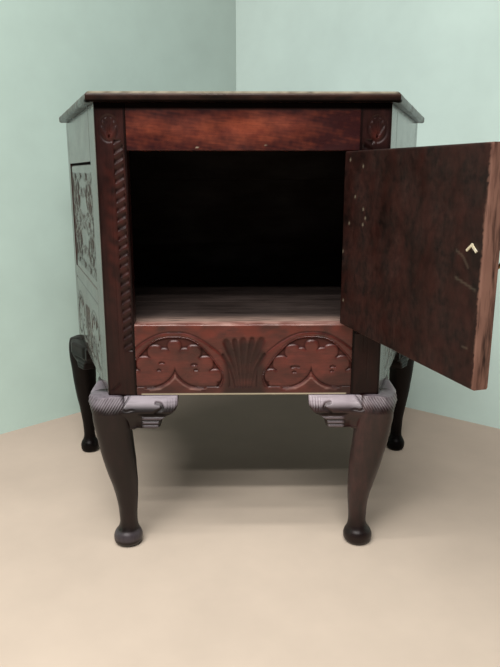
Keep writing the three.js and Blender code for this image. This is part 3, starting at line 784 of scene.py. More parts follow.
def leaf(u, v, spine, width, lobes, rise):
    """A carved leaf along a curved spine: lobed outline, midrib and veins. Returns its height over the ground."""
    away, along, side = line_distance(u, v, curve_through(spine, 18))
    shape = np.sin(math.pi * np.clip(along * 0.9 + 0.08, 0, 1)) ** 0.6
    beat = np.abs(np.sin(math.pi * lobes * along + 0.4 * side))
    reach = np.maximum(width * shape * (0.74 + 0.26 * beat), 0.1)
    across = away / reach
    body = rise * ease((1.0 - across) * 2.2) * (0.8 + 0.2 * beat)
    vein = 0.5 * ease(1.0 - beat * 2.4) * ease((1.0 - across) * 3)
    rib = 0.5 * ease(1.0 - away / 2.2) * ease((0.97 - along) * 6)
    return np.where(across < 1.0, np.maximum(body - vein - rib, 0.0), 0.0)


def rosette(u, v, centre, radius, petals_round, rise):
    """Rounded petals about a button."""
    du, dv = u - centre[0], v - centre[1]
    away = np.hypot(du, dv)
    beat = np.abs(np.cos(0.5 * petals_round * np.arctan2(dv, du)))
    reach = radius * (0.62 + 0.38 * beat ** 0.6)
    petal = rise * np.sqrt(np.clip(1 - ((away - 0.55 * reach) / (0.5 * reach)) ** 2, 0, 1)) * (0.55 + 0.45 * beat)
    button = 1.1 * rise * np.sqrt(np.clip(1 - (away / (0.27 * radius)) ** 2, 0, 1))
    return np.where(away < reach * 1.05, np.maximum(petal, button), 0.0)


def foliage(width, height_of_field, ground):
    """Four scrolls, each with a rosette at its heart and leaves that fill the corners, about a middle rosette."""
    half_w, half_h = width / 2, height_of_field / 2
    heart = (0.55 * half_w, 0.5 * half_h)
    reach = min(0.40 * half_w, 0.43 * half_h)
    turns = np.linspace(0, 1, 40)
    start = math.atan2(-heart[1], -heart[0]) + 0.35
    angle = start + turns * 2 * math.pi * 1.25
    radius = reach * (1 - 0.5 * turns)
    scroll = np.stack([heart[0] + radius * np.cos(angle), heart[1] + radius * np.sin(angle)], 1)
    stem = np.vstack([[(0.0, 0.0), (0.1 * half_w, 0.05 * half_h)], scroll])

    def from_heart(turn, share):
        return (heart[0] + share * reach * math.cos(math.radians(turn)),
                heart[1] + share * reach * math.sin(math.radians(turn)))
    leaves = (
        ((from_heart(50, 1.0), from_heart(42, 1.4), (0.97 * half_w, 0.93 * half_h)), 0.34 * reach, 3),
        ((from_heart(8, 1.0), from_heart(-2, 1.35), (0.97 * half_w, 0.28 * half_h)), 0.3 * reach, 3),
        ((from_heart(-48, 1.0), from_heart(-40, 1.3), (0.93 * half_w, 0.02 * half_h)), 0.26 * reach, 3),
        ((from_heart(118, 1.0), from_heart(128, 1.3), (0.1 * half_w, 0.93 * half_h)), 0.32 * reach, 3),
        ((from_heart(172, 1.0), (0.14 * half_w, 0.62 * half_h), (0.02 * half_w, 0.52 * half_h)), 0.24 * reach, 2),
        ((from_heart(-100, 1.0), (0.52 * half_w, 0.02 * half_h), (0.36 * half_w, 0.0)), 0.22 * reach, 2),
    )

    def relief(u, v):
        x = np.abs(u - half_w)
        y = np.abs(v - half_h)
        away, along, _ = line_distance(x, y, stem)
        bead = 5.2 - 2.4 * along
        rise = ground * np.sqrt(np.clip(1 - (away / bead) ** 2, 0, 1))
        rise -= 0.8 * ease(1 - away / 1.0) * (along < 0.97)
        for spine, leaf_width, lobes in leaves:
            rise = np.maximum(rise, leaf(x, y, spine, leaf_width, lobes, 0.95 * ground))
        rise = np.maximum(rise, rosette(x, y, heart, 0.36 * reach, 6, ground))
        rise = np.maximum(rise, rosette(x, y, (0.0, 0.0), 0.34 * reach, 8, ground))
        return np.clip(rise, 0, ground) - ground
    return relief


def bordered(width, height_of_board, margins, ground):
    """Foliage in a sunk field inside plain margins: left, right, bottom, top."""
    left, right, bottom, top = margins
    field = (width - left - right, height_of_board - bottom - top)
    inner = foliage(field[0], field[1], ground)

    def relief(u, v):
        a = u - left
        b = v - bottom
        edge = np.minimum(np.minimum(a, field[0] - a), np.minimum(b, field[1] - b))
        sunk = ease(edge / 2.2)
        return inner(a, b) * sunk
    return relief


# Canted sides
panel_inset = 1.5
panel_groove_depth = 3.4
for name, hand in (("left", -1), ("right", 1)):
    along_axis = np.array([hand * math.sin(cant), math.cos(cant), 0.0])
    corner = np.array([hand * half_front, 0.0, 0.0])
    u_axis = along_axis * hand
    outward = np.array([hand * math.cos(cant), -math.sin(cant), 0.0])

    def on_side(along, low, inset=0.0):
        """The start of a board's face: the end from which its length runs."""
        start = along[1] if hand < 0 else along[0]
        return corner + start * along_axis + low * up_axis - inset * outward

    def side_board(piece, along, span, thickness, slot, material, relief=None, step=2.5, rim=1.0, inset=0.0,
                   runs=(0.0, 0.0), **more):
        """Runs are how much shorter the back is at the front end and the rear end."""
        run = runs[::-1] if hand < 0 else runs
        return board(f"{piece}_{name}", on_side(along, span[0], inset), u_axis,
                     (along[1] - along[0], span[1] - span[0]), thickness, "case", slot, material, relief, step, rim,
                     back_run=run, **more)

    rail = (side_front_stile + joint_gap, side_length - side_rear_stile - joint_gap)
    panel = (side_front_stile, side_length - side_rear_stile)
    length = rail[1] - rail[0]
    side_board("side_front_stile_face", (joint_gap / 2, side_front_stile), (leg_height, case_top), frame_thickness,
               "case_wood", side_wood, None, 3.0, 1.2, runs=(mitre_run, 0.0), nodes=[f"side_{name}_front_stile"],
               grain_turn=True, seed=41 + hand)
    side_board("side_top_rail_face", rail, (panel_top, case_top), frame_thickness, "case_wood", side_wood, None, 3.0,
               1.2, nodes=[f"side_{name}_top_rail"], seed=44 + hand)
    side_board("side_middle_rail_face", rail, (middle_rail_low, panel_bottom), frame_thickness, "case_wood", side_wood,
               None, 2.0, 1.2, nodes=[f"side_{name}_middle_rail"], seed=47 + hand)
    side_board("carved_side_apron_rail", rail, (leg_height, side_apron_top), frame_thickness, "apron_wood", side_wood,
               apron_relief(length, (-length * 0.32, length * 0.32), side_eyes, 20.0, side_apron_top - leg_height),
               1.4, 1.2, nodes=[f"side_{name}_apron_rail"], seed=51 + hand)
    margins = (14, 14, 12, 17)

    def panel_grooves(u, v):
        """The grooves under the top rail and beside the front stile, from nought to one."""
        from_front = (panel[1] - panel[0] + 13 - u if hand < 0 else u) - 6.5
        from_top = panel_top - panel_bottom + 6.5 - v
        return np.maximum(ease((5.0 - from_top) / 1.2), 0.6 * ease((4.2 - from_front) / 1.2))

    # Painted shade in the grooves under the top rail and beside the front stile.
    def panel_painted_shade(u, v):
        return 0.95 * panel_grooves(u, v)

    panel_carving = bordered(panel[1] - panel[0] + 13, panel_top - panel_bottom + 13,
                             tuple(m + 6.5 for m in margins), 2.0)

    def panel_relief(u, v):
        return panel_carving(u, v) - panel_groove_depth * panel_grooves(u, v)
    side_board("carved_side_panel", (panel[0] - 6.5, panel[1] + 6.5), (panel_bottom - 6.5, panel_top + 6.5),
               panel_thickness + panel_recess - 0.3 - panel_inset, "case_wood", side_wood, panel_relief,
               1.5, 0.6, inset=panel_inset, nodes=[f"side_{name}_panel"], seed=54 + hand, hollow=0.06,
               extra={"painted_shade": panel_painted_shade})

# Top board: a trapezoid with a rounded, worn edge and a gently uneven upper face


worn_arris = 5.5
arris_shares = ((1.0, 0.0), (0.82, 0.05), (0.62, 0.2), (0.42, 0.42), (0.22, 0.68), (0.07, 0.92), (0.0, 1.25))


def top_rings():
    corner = math.tan((math.pi / 2 - cant) / 2)

    def ring(overhang):
        front = half_front + overhang * corner
        rear = half_rear + overhang / math.cos(cant)
        return (-overhang, front, rear)
    steps = [(math.pi / 2) * k / 6 for k in range(7)]
    low = [(case_top + top_edge_round * (1 - math.cos(t)), top_edge_round * (1 - math.sin(t))) for t in steps]
    high = [(case_top + top_thickness - worn_arris * fall, worn_arris * inset) for fall, inset in arris_shares]
    return [(z, ring(top_overhang - inset)) for z, inset in low + high]


def top_board():
    """Grid of the upper face, the rounded edge round three sides, the straight rear edge and the underside."""
    sides = []
    for z, (front_y, front_half, rear_half) in top_rings():
        line = []
        across = np.linspace(-1, 1, 61)
        along = np.linspace(0, 1, 61)
        for t in along[::-1]:
            line.append((-(front_half + (rear_half - front_half) * t), front_y + (case_depth - front_y) * t, z))
        for s in across[1:-1]:
            line.append((s * front_half, front_y, z))
        for t in along:
            line.append((front_half + (rear_half - front_half) * t, front_y + (case_depth - front_y) * t, z))
        for s in across[::-1][1:-1]:
            line.append((s * rear_half, case_depth, z))
        sides.append(line)
    sides = np.array(sides)
    levels, count = sides.shape[:2]
    # Slight waves and dents in the worn edge, never beyond the sound outline
    middle = sides.mean((0, 1))
    travel = np.arange(count) / count
    worn = 0.35 * (1 + np.sin(travel * 96.0) * np.sin(travel * 38.0 + 1.0))
    toward = middle[None, None, :2] - sides[..., :2]
    toward /= np.linalg.norm(toward, axis=-1, keepdims=True)
    free = (sides[..., 1] < case_depth - 1)[..., None]
    sides[..., :2] += toward * worn[None, :, None] * free
    points = sides.reshape(-1, 3).tolist()
    faces = []
    for level in range(levels - 1):
        for k in range(count):
            after = (k + 1) % count
            a = level * count
            faces.append([a + k, a + after, a + count + after, a + count + k])
    # Rings drawn in towards the middle make both broad faces
    shrink = (0.97, 0.9, 0.8, 0.65, 0.5, 0.35, 0.2, 0.08)
    for base_level, turn, is_top in ((0, True, False), (levels - 1, False, True)):
        base = sides[base_level]
        last = list(range(base_level * count, (base_level + 1) * count))
        centre = np.array([0.0, base[:, 1].mean() - 12.0, base[0, 2]])
        for share in shrink:
            ring = centre + (base - centre) * share
            if is_top:
                ring[:, 2] += wander(ring[:, 0], ring[:, 1], 5, 0.25) - 0.25
            start = len(points)
            points.extend(ring.tolist())
            new = list(range(start, start + count))
            for k in range(count):
                after = (k + 1) % count
                quad = [last[k], last[after], new[after], new[k]]
                faces.append(quad[::-1] if turn else quad)
            last = new
        start = len(points)
        points.append(centre.tolist())
        for k in range(count):
            tri = [last[k], last[(k + 1) % count], start]
            faces.append(tri[::-1] if turn else tri)
    points = np.array(points)
    wear_and_painted_light = np.zeros(len(points))
    edge = np.arange(len(points)) < levels * count
    above = points[:, 2] - case_top
    wear_and_painted_light[edge & (above > 8)] = 0.24
    corner = half_front + top_overhang * math.tan((math.pi / 2 - cant) / 2)
    near_front = ease((6.0 - points[:, 1]) / 4.0) * ease((corner - np.abs(points[:, 0])) / 7.0)
    patchy = 0.8 + 0.3 * wander(points[:, 0] * 5.0, points[:, 0] * 0.0, 6, 1.0)
    # Pale upper front arris: bare worn wood and a painted highlight.
    bare_and_highlight = edge * 0.5 * ease((above - 10.8) / 2.0) * (0.15 + 0.85 * near_front) * np.clip(patchy, 0.4, 1.0)
    # Painted shade on the lower half of the front edge, beneath the nosing.
    painted_shade = edge * 0.92 * ease((7.0 - above) / 6.5) * ease((8.0 - points[:, 1]) / 8.0)
    top = np.minimum(points[:, 2], case_top + top_thickness)
    points[:, 2] = np.maximum(top, case_top)
    return add_piece("worn_top_board", points, faces, "case", top_wood, ["top_board"],
                     {"grain": points * MM + 3.1, "wear_and_painted_light": wear_and_painted_light, "bare_and_highlight": bare_and_highlight, "painted_shade": painted_shade}, 40)


top_board()

# Back boards, meeting edge to edge so that no light comes through
back_half = half_rear - 9.3
back_spans = (("lower", leg_height, 473.15), ("middle", 473.15, 609.15), ("upper", 609.15, case_top))


def dry_back(u, v):
    """The outer face was never polished, so it is paler and drier than the inside."""
    return np.clip(0.62 + wander(u * 0.4, v * 2.0, 81, 0.3), 0, 1)


for order, (name, low, high) in enumerate(back_spans):
    board(f"planed_back_board_{name}", (back_half, case_depth, low), (-1, 0, 0), (2 * back_half, high - low),
          case_depth - back_face, "case", "inside_wood", back_wood, None, 5.0, 0.8, [f"back_board_{name}"],
          two_faced=True, seed=71 + order, uneven=0.3, extra={"blush_and_sheen": dry_back})

# Floor of the cupboard
def floor_board(name, near, far, seed, front_wear_and_light):
    """A board between the canted sides: a grid from the near edge to the far edge."""
    def half(depth):
        return half_front + depth * math.tan(cant) - frame_thickness / math.cos(cant) - joint_gap
    ys = near + spaced(far - near, 4.0, 1.4)
    xs = np.linspace(-1, 1, 90)
    grid = []
    wear_and_painted_light = []
    for y in ys:
        from_edge = min(y - near, far - y)
        drop = 0.0 if from_edge > 1.4 else 1.4 - math.sqrt(max(1.4 ** 2 - (1.4 - from_edge) ** 2, 0))
        for s in xs:
            x = s * half(y)
            dip = min(0.0, float(wander(np.array(x), np.array(y), seed, 0.3)) - 0.1)
            grid.append((x, y, floor_top - drop + dip * ease(np.array(from_edge / 5.0))))
            # Paler toward the front edge and on rounded arrises: wear, and painted light that falls off toward the
            # back.
            wear_and_painted_light.append(front_wear_and_light * float(ease(np.array(1 - (y - near) / 62.0))) + 0.3 * (drop > 0.2))
    rows, columns = len(ys), len(xs)
    points = np.array(grid)
    under = points.copy()
    under[:, 2] = floor_bottom
    faces = grid_faces(rows, columns, 0, True) + grid_faces(rows, columns, rows * columns)
    outer = perimeter(rows, columns)
    inner = perimeter(rows, columns, rows * columns)
    for k in range(len(outer)):
        after = (k + 1) % len(outer)
        faces.append([outer[k], outer[after], inner[after], inner[k]])
    all_points = np.concatenate([points, under])
    add_piece(f"worn_{name}", all_points, faces, "case", inside_wood, [name],
              {"grain": all_points * MM + seed, "wear_and_painted_light": np.array(wear_and_painted_light + [0.0] * len(under))}, 40)


floor_board("floor_board_front", frame_thickness, floor_seam, 3, 0.66)
floor_board("floor_board_rear", floor_seam + joint_gap, back_face, 4, 0.0)

# Legs
leg_shares = np.array([
    [0, 0.57, 0, 2], [0.012, 0.7, 0, 2], [0.03, 0.78, 0, 2], [0.055, 0.797, 0, 2], [0.08, 0.74, 0, 2],
    [0.105, 0.6, -0.04, 2], [0.13, 0.52, -0.08, 2], [0.16, 0.49, -0.1, 2], [0.22, 0.51, -0.1, 2],
    [0.32, 0.595, -0.06, 2.1], [0.4, 0.69, 0.06, 2.2], [0.48, 0.785, 0.24, 2.3], [0.56, 0.86, 0.42, 2.4],
    [0.64, 0.91, 0.6, 2.5], [0.72, 0.945, 0.77, 2.6], [0.8, 0.97, 0.91, 2.8], [0.88, 1, 1, 3], [0.95, 1, 1, 3.2],
    [1, 0.96, 0.95, 3.2],
])
post_width = 38.0
post_top = 362.0


def slopes(x, y):
    """Slopes of a smooth curve through points that never overshoots them."""
    step = np.diff(x)
    rate = np.diff(y) / step
    out = np.zeros_like(y)
    out[0], out[-1] = rate[0], rate[-1]
    for i in range(1, len(y) - 1):
        if rate[i - 1] * rate[i] > 0:
            a = 2 * step[i] + step[i - 1]
            b = step[i] + 2 * step[i - 1]
            out[i] = (a + b) / (a / rate[i - 1] + b / rate[i])
    return out


def smooth_table(x, table):
    """Every column of a table at the places x, on curves through its rows."""
    keys = table[:, 0]
    out = []
    for column in range(1, table.shape[1]):
        y = table[:, column]
        m = slopes(keys, y)
        i = np.clip(np.searchsorted(keys, x, side="right") - 1, 0, len(keys) - 2)
        h = keys[i + 1] - keys[i]
        t = (x - keys[i]) / h
        out.append((2 * t ** 3 - 3 * t ** 2 + 1) * y[i] + (t ** 3 - 2 * t ** 2 + t) * h * m[i]
                   + (3 * t ** 2 - 2 * t ** 3) * y[i + 1] + (t ** 3 - t ** 2) * h * m[i + 1])
    return out


def leg_posts():
    """The plan of each right-hand post, as in the solids."""
    def side(along, depth):
        return (half_front + along * math.sin(cant) - depth * math.cos(cant),
                along * math.cos(cant) + depth * math.sin(cant))
    inset = frame_thickness + joint_gap
    inner = (half_front + inset * math.tan(cant) - inset / math.cos(cant), inset)
    near = math.hypot(inner[0] - half_front, inner[1])
    along_front = math.sqrt(max(near * near - inset * inset, 0))
    back = back_face - joint_gap
    inner_back = (half_front + back * math.tan(cant) - inset / math.cos(cant), back)
    along_back = (back - inset * math.sin(cant)) / math.cos(cant)
    return {
        "front": [inner, side(along_front + post_width, inset), side(along_front + post_width, inset + post_width),
                  (inner[0] - post_width, inset + post_width), (inner[0] - post_width, inset)],
        "rear": [inner_back, (inner_back[0] - post_width, back), (inner_back[0] - post_width, back - post_width),
                 side(along_back - post_width, inset)],
    }


leg_places = {
    "front": (knee_radius, (197.0, 11.0), (215.72, 6.0), -(math.pi / 2 + cant) / 2),
    "rear": (rear_knee_radius, (353.5, 402.0), (355.0, 391.0), -cant),
}


knee_fall = 15.0
knee_slope = 27.0
reed_pitch = 4.6
reed_lean = 0.58
reed_depth = 0.7
seat_gap = 0.3
shoulder_bulge = {"front": 6.0, "rear": 0.0}
foot_sway = {"left": -3.8, "right": 0.0}
knee_sway = {"left": -2.2, "right": 0.0}
# Painted sheen on the front feet, left and right.
foot_painted_sheen = {"left": 0.24, "right": 0.05}


def sloping(down):
    """How far the carving's upper part leans back from its roll."""
    return knee_fall * np.clip(1 - down / knee_slope, 0, 1) ** 1.6


def reeds(along, down):
    """Reeding over a knee: cut depth from nought to one, in the knee's own coordinates."""
    wave = 0.5 + 0.5 * np.cos(2 * math.pi * (along + reed_lean * down) / reed_pitch)
    return wave ** 1.5 * ease((30.0 - down) / 14.0) * ease((down - 0.8) / 2.0)


def leg(end, name, hand):
    radius, foot, knee, angle = leg_places[end]
    angle = angle if hand > 0 else math.pi - angle
    fine = 84 if end == "front" else 30
    levels = np.unique(np.concatenate([np.linspace(0, 0.16, 40), np.linspace(0.16, 0.8, 60),
                                       np.linspace(0.8, 1, fine)]))
    count = 320 if end == "front" else 96
    wide, lean, square = smooth_table(levels, leg_shares)
    turn = 2 * math.pi * np.arange(count) / count
    from_axis = turn - angle - math.pi / 4
    spread = (np.abs(np.cos(from_axis))[None, :] ** square[:, None]
              + np.abs(np.sin(from_axis))[None, :] ** square[:, None])
    reach = radius * wide[:, None] * spread ** (-1 / square[:, None])
    z = np.minimum(levels[:, None] * leg_height, leg_height - seat_gap) + np.zeros((1, count))
    wear_and_painted_light = np.zeros_like(reach)
    out_turn = (turn - angle + math.pi) % (2 * math.pi) - math.pi
    down = leg_height - z
    outward = ease((np.cos(out_turn) + 0.3) / 0.5)[None, :]
    toward_front = np.clip(-np.sin(turn), 0, 1)[None, :] ** 0.7 * (1.0 if end == "front" else 0.5)
    toward_side = np.clip(hand * np.cos(turn), 0, 1)[None, :] ** 1.5
    shoulder = shoulder_bulge[end] * ease((31 - down) / 20.0) * toward_side
    top_round = 5.0 * (1 - np.sqrt(np.clip(1 - np.clip(1 - down / 5.0, 0, 1) ** 2, 0, 1))) * toward_side
    reach = reach - sloping(down) * toward_front + shoulder - top_round
    # Paler knee tops: wear and painted highlight.
    wear_and_painted_light = wear_and_painted_light + 0.57 * ease((27 - down) / 21.0) * outward
    if end == "front":
        # Painted sheen on the foot; darker in the reeding's grooves as painted shade.
        wear_and_painted_light = wear_and_painted_light + foot_painted_sheen[name] * ease((34 - z) / 10.0) * ease((z - 6) / 8.0)
        cut = reeds(-hand * reach * np.cos(turn), down) * outward
        reach = reach - reed_depth * cut
        wear_and_painted_light = wear_and_painted_light - 0.22 * cut
    shake = 0.25 * np.sin(3 * turn[None, :] + 9 * levels[:, None]) * np.sin(31 * levels[:, None] + 2 * hand)
    reach = reach + shake - 0.25
    sway = foot_sway[name] + (knee_sway[name] - foot_sway[name]) * lean if end == "front" else 0.0
    x0 = hand * (foot[0] + (knee[0] - foot[0]) * lean) + sway
    y0 = foot[1] + (knee[1] - foot[1]) * lean
    x = x0[:, None] + reach * np.cos(turn)
    y = y0[:, None] + reach * np.sin(turn)
    points = np.stack([x, y, z], -1).reshape(-1, 3)
    rows = len(levels)
    faces = []
    for level in range(rows - 1):
        for k in range(count):
            after = (k + 1) % count
            a = level * count
            faces.append([a + k, a + after, a + count + after, a + count + k])
    points = points.tolist()
    wear_and_painted_light = wear_and_painted_light.ravel().tolist()
    for level, flip in ((0, True), (rows - 1, False)):
        centre = np.array(points[level * count:(level + 1) * count]).mean(0)
        middle = len(points)
        points.append(centre.tolist())
        wear_and_painted_light.append(0.0 if flip else 0.6)
        for k in range(count):
            tri = [level * count + k, level * count + (k + 1) % count, middle]
            faces.append(tri[::-1] if flip else tri)
    # The post in the case's corner
    plan = [(hand * px, py) for px, py in leg_posts()[end]]
    area = sum(a[0] * b[1] - a[1] * b[0] for a, b in zip(plan, plan[1:] + plan[:1]))
    plan = plan if area > 0 else plan[::-1]
    low = leg_height - post_width / 2
    start = len(points)
    ring = len(plan)
    points += [(px, py, low) for px, py in plan] + [(px, py, post_top) for px, py in plan]
    wear_and_painted_light += [0.0] * (2 * ring)
    faces += [[start + k, start + (k + 1) % ring, start + ring + (k + 1) % ring, start + ring + k] for k in range(ring)]
    faces += [[start + k for k in reversed(range(ring))], [start + ring + k for k in range(ring)]]
    points = np.array(points)
    grain = points[:, [2, 0, 1]] * MM + 2.3 * hand + (5.0 if end == "rear" else 0.0)
    finish = leg_finishes[name] if end == "front" else rear_leg_wood_shaded
    stain_and_shade = (0.75 if name == "right" else 0.0) * ease((75 - points[:, 2]) / 40.0)
    add_piece(f"cabriole_leg_{end}_{name}", points, faces, "case", finish, [f"leg_{end}_{name}"],
              {"grain": grain, "wear_and_painted_light": wear_and_painted_light, "stain_and_shade": stain_and_shade}, 50)


for end in ("front", "rear"):
    for name, hand in (("left", -1), ("right", 1)):
        leg(end, name, hand)

# Ears
ear_shares = np.array([
    [1, 0], [1, 0.3], [0.975, 0.45], [0.92, 0.6], [0.83, 0.72], [0.765, 0.82], [0.745, 0.95], [0.74, 1.08],
    [0.7, 1.13], [0.46, 1.14], [0.4, 1.17], [0.34, 1.25], [0, 1.25],
])


def ear_height_field(along, down, from_end, kind):
    """How proud an ear's face is, in millimetres, and its wear mark: wear and painted highlight on the top, painted
    shade in the cuts and under the roll.
    """
    knee = 6.0 * ease(1 - along / 45.0)
    far = ease((along - 40.0) / 14.0)
    if kind == "front":
        proud = ear_proud + knee - sloping(down)
    else:
        top_round = 5.0 * (1 - np.sqrt(np.clip(1 - np.clip(1 - down / 5.0, 0, 1) ** 2, 0, 1)))
        proud = 24.0 - 16.0 * np.clip((along - 36.0) / 49.0, 0, 1) - 5.5 * ease((along - 84.0) / 11.0)
        proud = np.minimum(proud, ear_proud + knee + 1.0 + 6.0 * ease(along / 12.0)) - top_round
    proud = proud - 4.5 * far * ease((down - 23.0) / 8.0) - (1 - far) * 11.0 * ease((down - 22) / 30.0)
    # Two level reeds below the roll
    ridge = np.zeros_like(along)
    for middle in (35.0, 42.5, 48.5):
        ridge = np.maximum(ridge, np.sqrt(np.clip(1 - ((down - middle) / 3.0) ** 2, 0, 1)))
    reeded = ease((along - 48) / 9) * ease((from_end - 0.5) / 3.5)
    proud = proud + 2.6 * ridge * reeded * (1.0 if kind == "front" else 0.3)
    # Within the knee the ear lies under the leg's own reeded surface; from there the reeding runs on to the leaf
    before_leaf = (1.0 if kind == "front" else 0.0) * ease((36.0 - 0.8 * down - along) / 3.0)
    proud = proud - 2.2 * ease((21 - along) / 5.0) - (reed_depth * reeds(along, down) + 0.7) * before_leaf
    # The leaf that curls from the ear over the knee
    carved = 1.0 if kind == "front" else 0.0
    edge, share, _ = line_distance(along, down, curve_through(((35, -2), (30, 5), (24.5, 12), (23, 18), (28, 21.5),
                                                               (36, 20), (44, 21)), 24))
    leaf_step = carved * ease(1 - edge / 3.0) * (1 - ease((share - 0.75) / 0.25))
    proud = proud - 0.7 * leaf_step
    # The hooked cut and the flutes at the free end
    hook, _, _ = line_distance(along, down, curve_through(((76, 10), (83, 11.5), (85.5, 17.5), (80, 21.5), (74.5, 24.5)),
                                                          20))
    bite = carved * ease(1 - hook / 4.2)
    proud = proud - 2.0 * bite
    flutes = (0.5 + 0.5 * np.cos(2 * math.pi * (along - 90) / 4.4)) ** 1.3
    fluted = carved * flutes * ease((along - 88) / 5) * ease((28 - down) / 10) * ease((down - 1) / 5)
    proud = proud - 0.6 * fluted
    rounding = np.sqrt(np.clip(1 - np.clip(1 - from_end / 4.5, 0, 1) ** 2, 0, 1))
    low = np.sqrt(np.clip(1 - np.clip(1 - (1.25 * ear_height - down) / 4.0, 0, 1) ** 2, 0, 1))
    proud = proud * (0.55 + 0.45 * rounding) * (0.75 + 0.25 * low) - 2.0 * ease(1 - along / 3.0)
    # Paler top and reed tops: wear and painted highlight; darker in the knee's reeds, the cuts and a band under the
    # roll: painted shade.
    wear_and_painted_light = (0.62 + 0.2 * (1 - before_leaf) * ease((along - 20) / 6)) * ease((23 - down) / 18)
    wear_and_painted_light = wear_and_painted_light + 0.32 * ridge * reeded - 0.22 * reeds(along, down) * before_leaf
    wear_and_painted_light = wear_and_painted_light - 0.12 * fluted - 0.38 * bite - 0.2 * leaf_step
    wear_and_painted_light = wear_and_painted_light - 0.4 * ease((down - 24) / 3) * ease((32 - down) / 3) * far
    wear_and_painted_light = wear_and_painted_light * (1.0 if kind == "front" else 0.9 * ease((92 - along) / 16.0))
    return proud, wear_and_painted_light


def ear(name, origin, along_axis, outward, nodes, kind, finish):
    """A carved ear: rows down its face, drawn in at the free end; proud of the case, with a plain back."""
    down_shares = np.concatenate([np.linspace(0, 0.12, 8), np.linspace(0.135, 0.86, 64), np.linspace(0.88, 1, 8)])
    lengths = np.concatenate([np.linspace(0, 0.9, 130), np.linspace(0.905, 1, 18)])
    order = np.argsort(ear_shares[:, 1], kind="stable")
    reach_at = np.interp(down_shares * 1.25, ear_shares[order, 1], ear_shares[order, 0])
    down = down_shares[:, None] * 1.25 * ear_height + np.zeros((1, len(lengths)))
    along = reach_at[:, None] * ear_reach * lengths[None, :]
    from_end = reach_at[:, None] * ear_reach - along
    proud, wear_and_painted_light = ear_height_field(along, down, from_end, kind)
    rows, columns = along.shape
    grid = np.stack([along, -down, proud], -1).reshape(-1, 3)
    wear_and_painted_light = wear_and_painted_light.ravel().tolist()
    back = grid.copy()
    back[:, 2] = -ear_back
    local = np.concatenate([grid, back])
    hand = 1.0 if np.dot(np.cross(along_axis, up_axis), outward) > 0 else -1.0
    points = (np.asarray(origin) + local[:, :1] * along_axis + local[:, 1:2] * up_axis + local[:, 2:] * outward)
    faces = grid_faces(rows, columns, 0, hand < 0) + grid_faces(rows, columns, rows * columns, hand > 0)
    outer = perimeter(rows, columns)
    inner = perimeter(rows, columns, rows * columns)
    for k in range(len(outer)):
        after = (k + 1) % len(outer)
        quad = [outer[k], inner[k], inner[after], outer[after]]
        faces.append(quad if hand < 0 else quad[::-1])
    wear_and_painted_light = wear_and_painted_light + [0.0] * len(back)
    add_piece(name, points, faces, "case", finish, nodes, {"grain": local * MM + 1.7, "wear_and_painted_light": wear_and_painted_light}, 45)


def ears():
    def along_side(x, y):
        return (x - half_front) * math.sin(cant) + y * math.cos(cant)
    front_knee = leg_places["front"][2]
    rear_knee = leg_places["rear"][2]
    for name, hand in (("left", -1), ("right", 1)):
        ear(f"carved_ear_front_{name}", (hand * front_knee[0] + knee_sway[name], 0, leg_height - 2 * seat_gap),
            np.array([-hand, 0.0, 0.0]),
            np.array([0.0, -1.0, 0.0]), [f"ear_front_{name}"], "front", leg_finishes[name])
        side_axis = np.array([hand * math.sin(cant), math.cos(cant), 0.0])
        outward = np.array([hand * math.cos(cant), -math.sin(cant), 0.0])
        for end, knee, way in (("front", front_knee, 1), ("rear", rear_knee, -1)):
            start = np.array([hand * half_front, 0, leg_height - 2 * seat_gap]) + along_side(*knee) * side_axis
            ear(f"carved_ear_side_{name}_{end}", start, side_axis * way, outward, [f"ear_side_{name}_{end}"], "side",
                leg_finishes[name] if end == "front" else rear_leg_wood_shaded)


ears()

# Door, drawn closed about the hinge's axis and turned open


def turned(points):
    c, s = math.cos(door_open), math.sin(door_open)
    turn = np.array([[c, -s, 0], [s, c, 0], [0, 0, 1]])
    return np.asarray(points, float) @ turn.T + hinge_axis


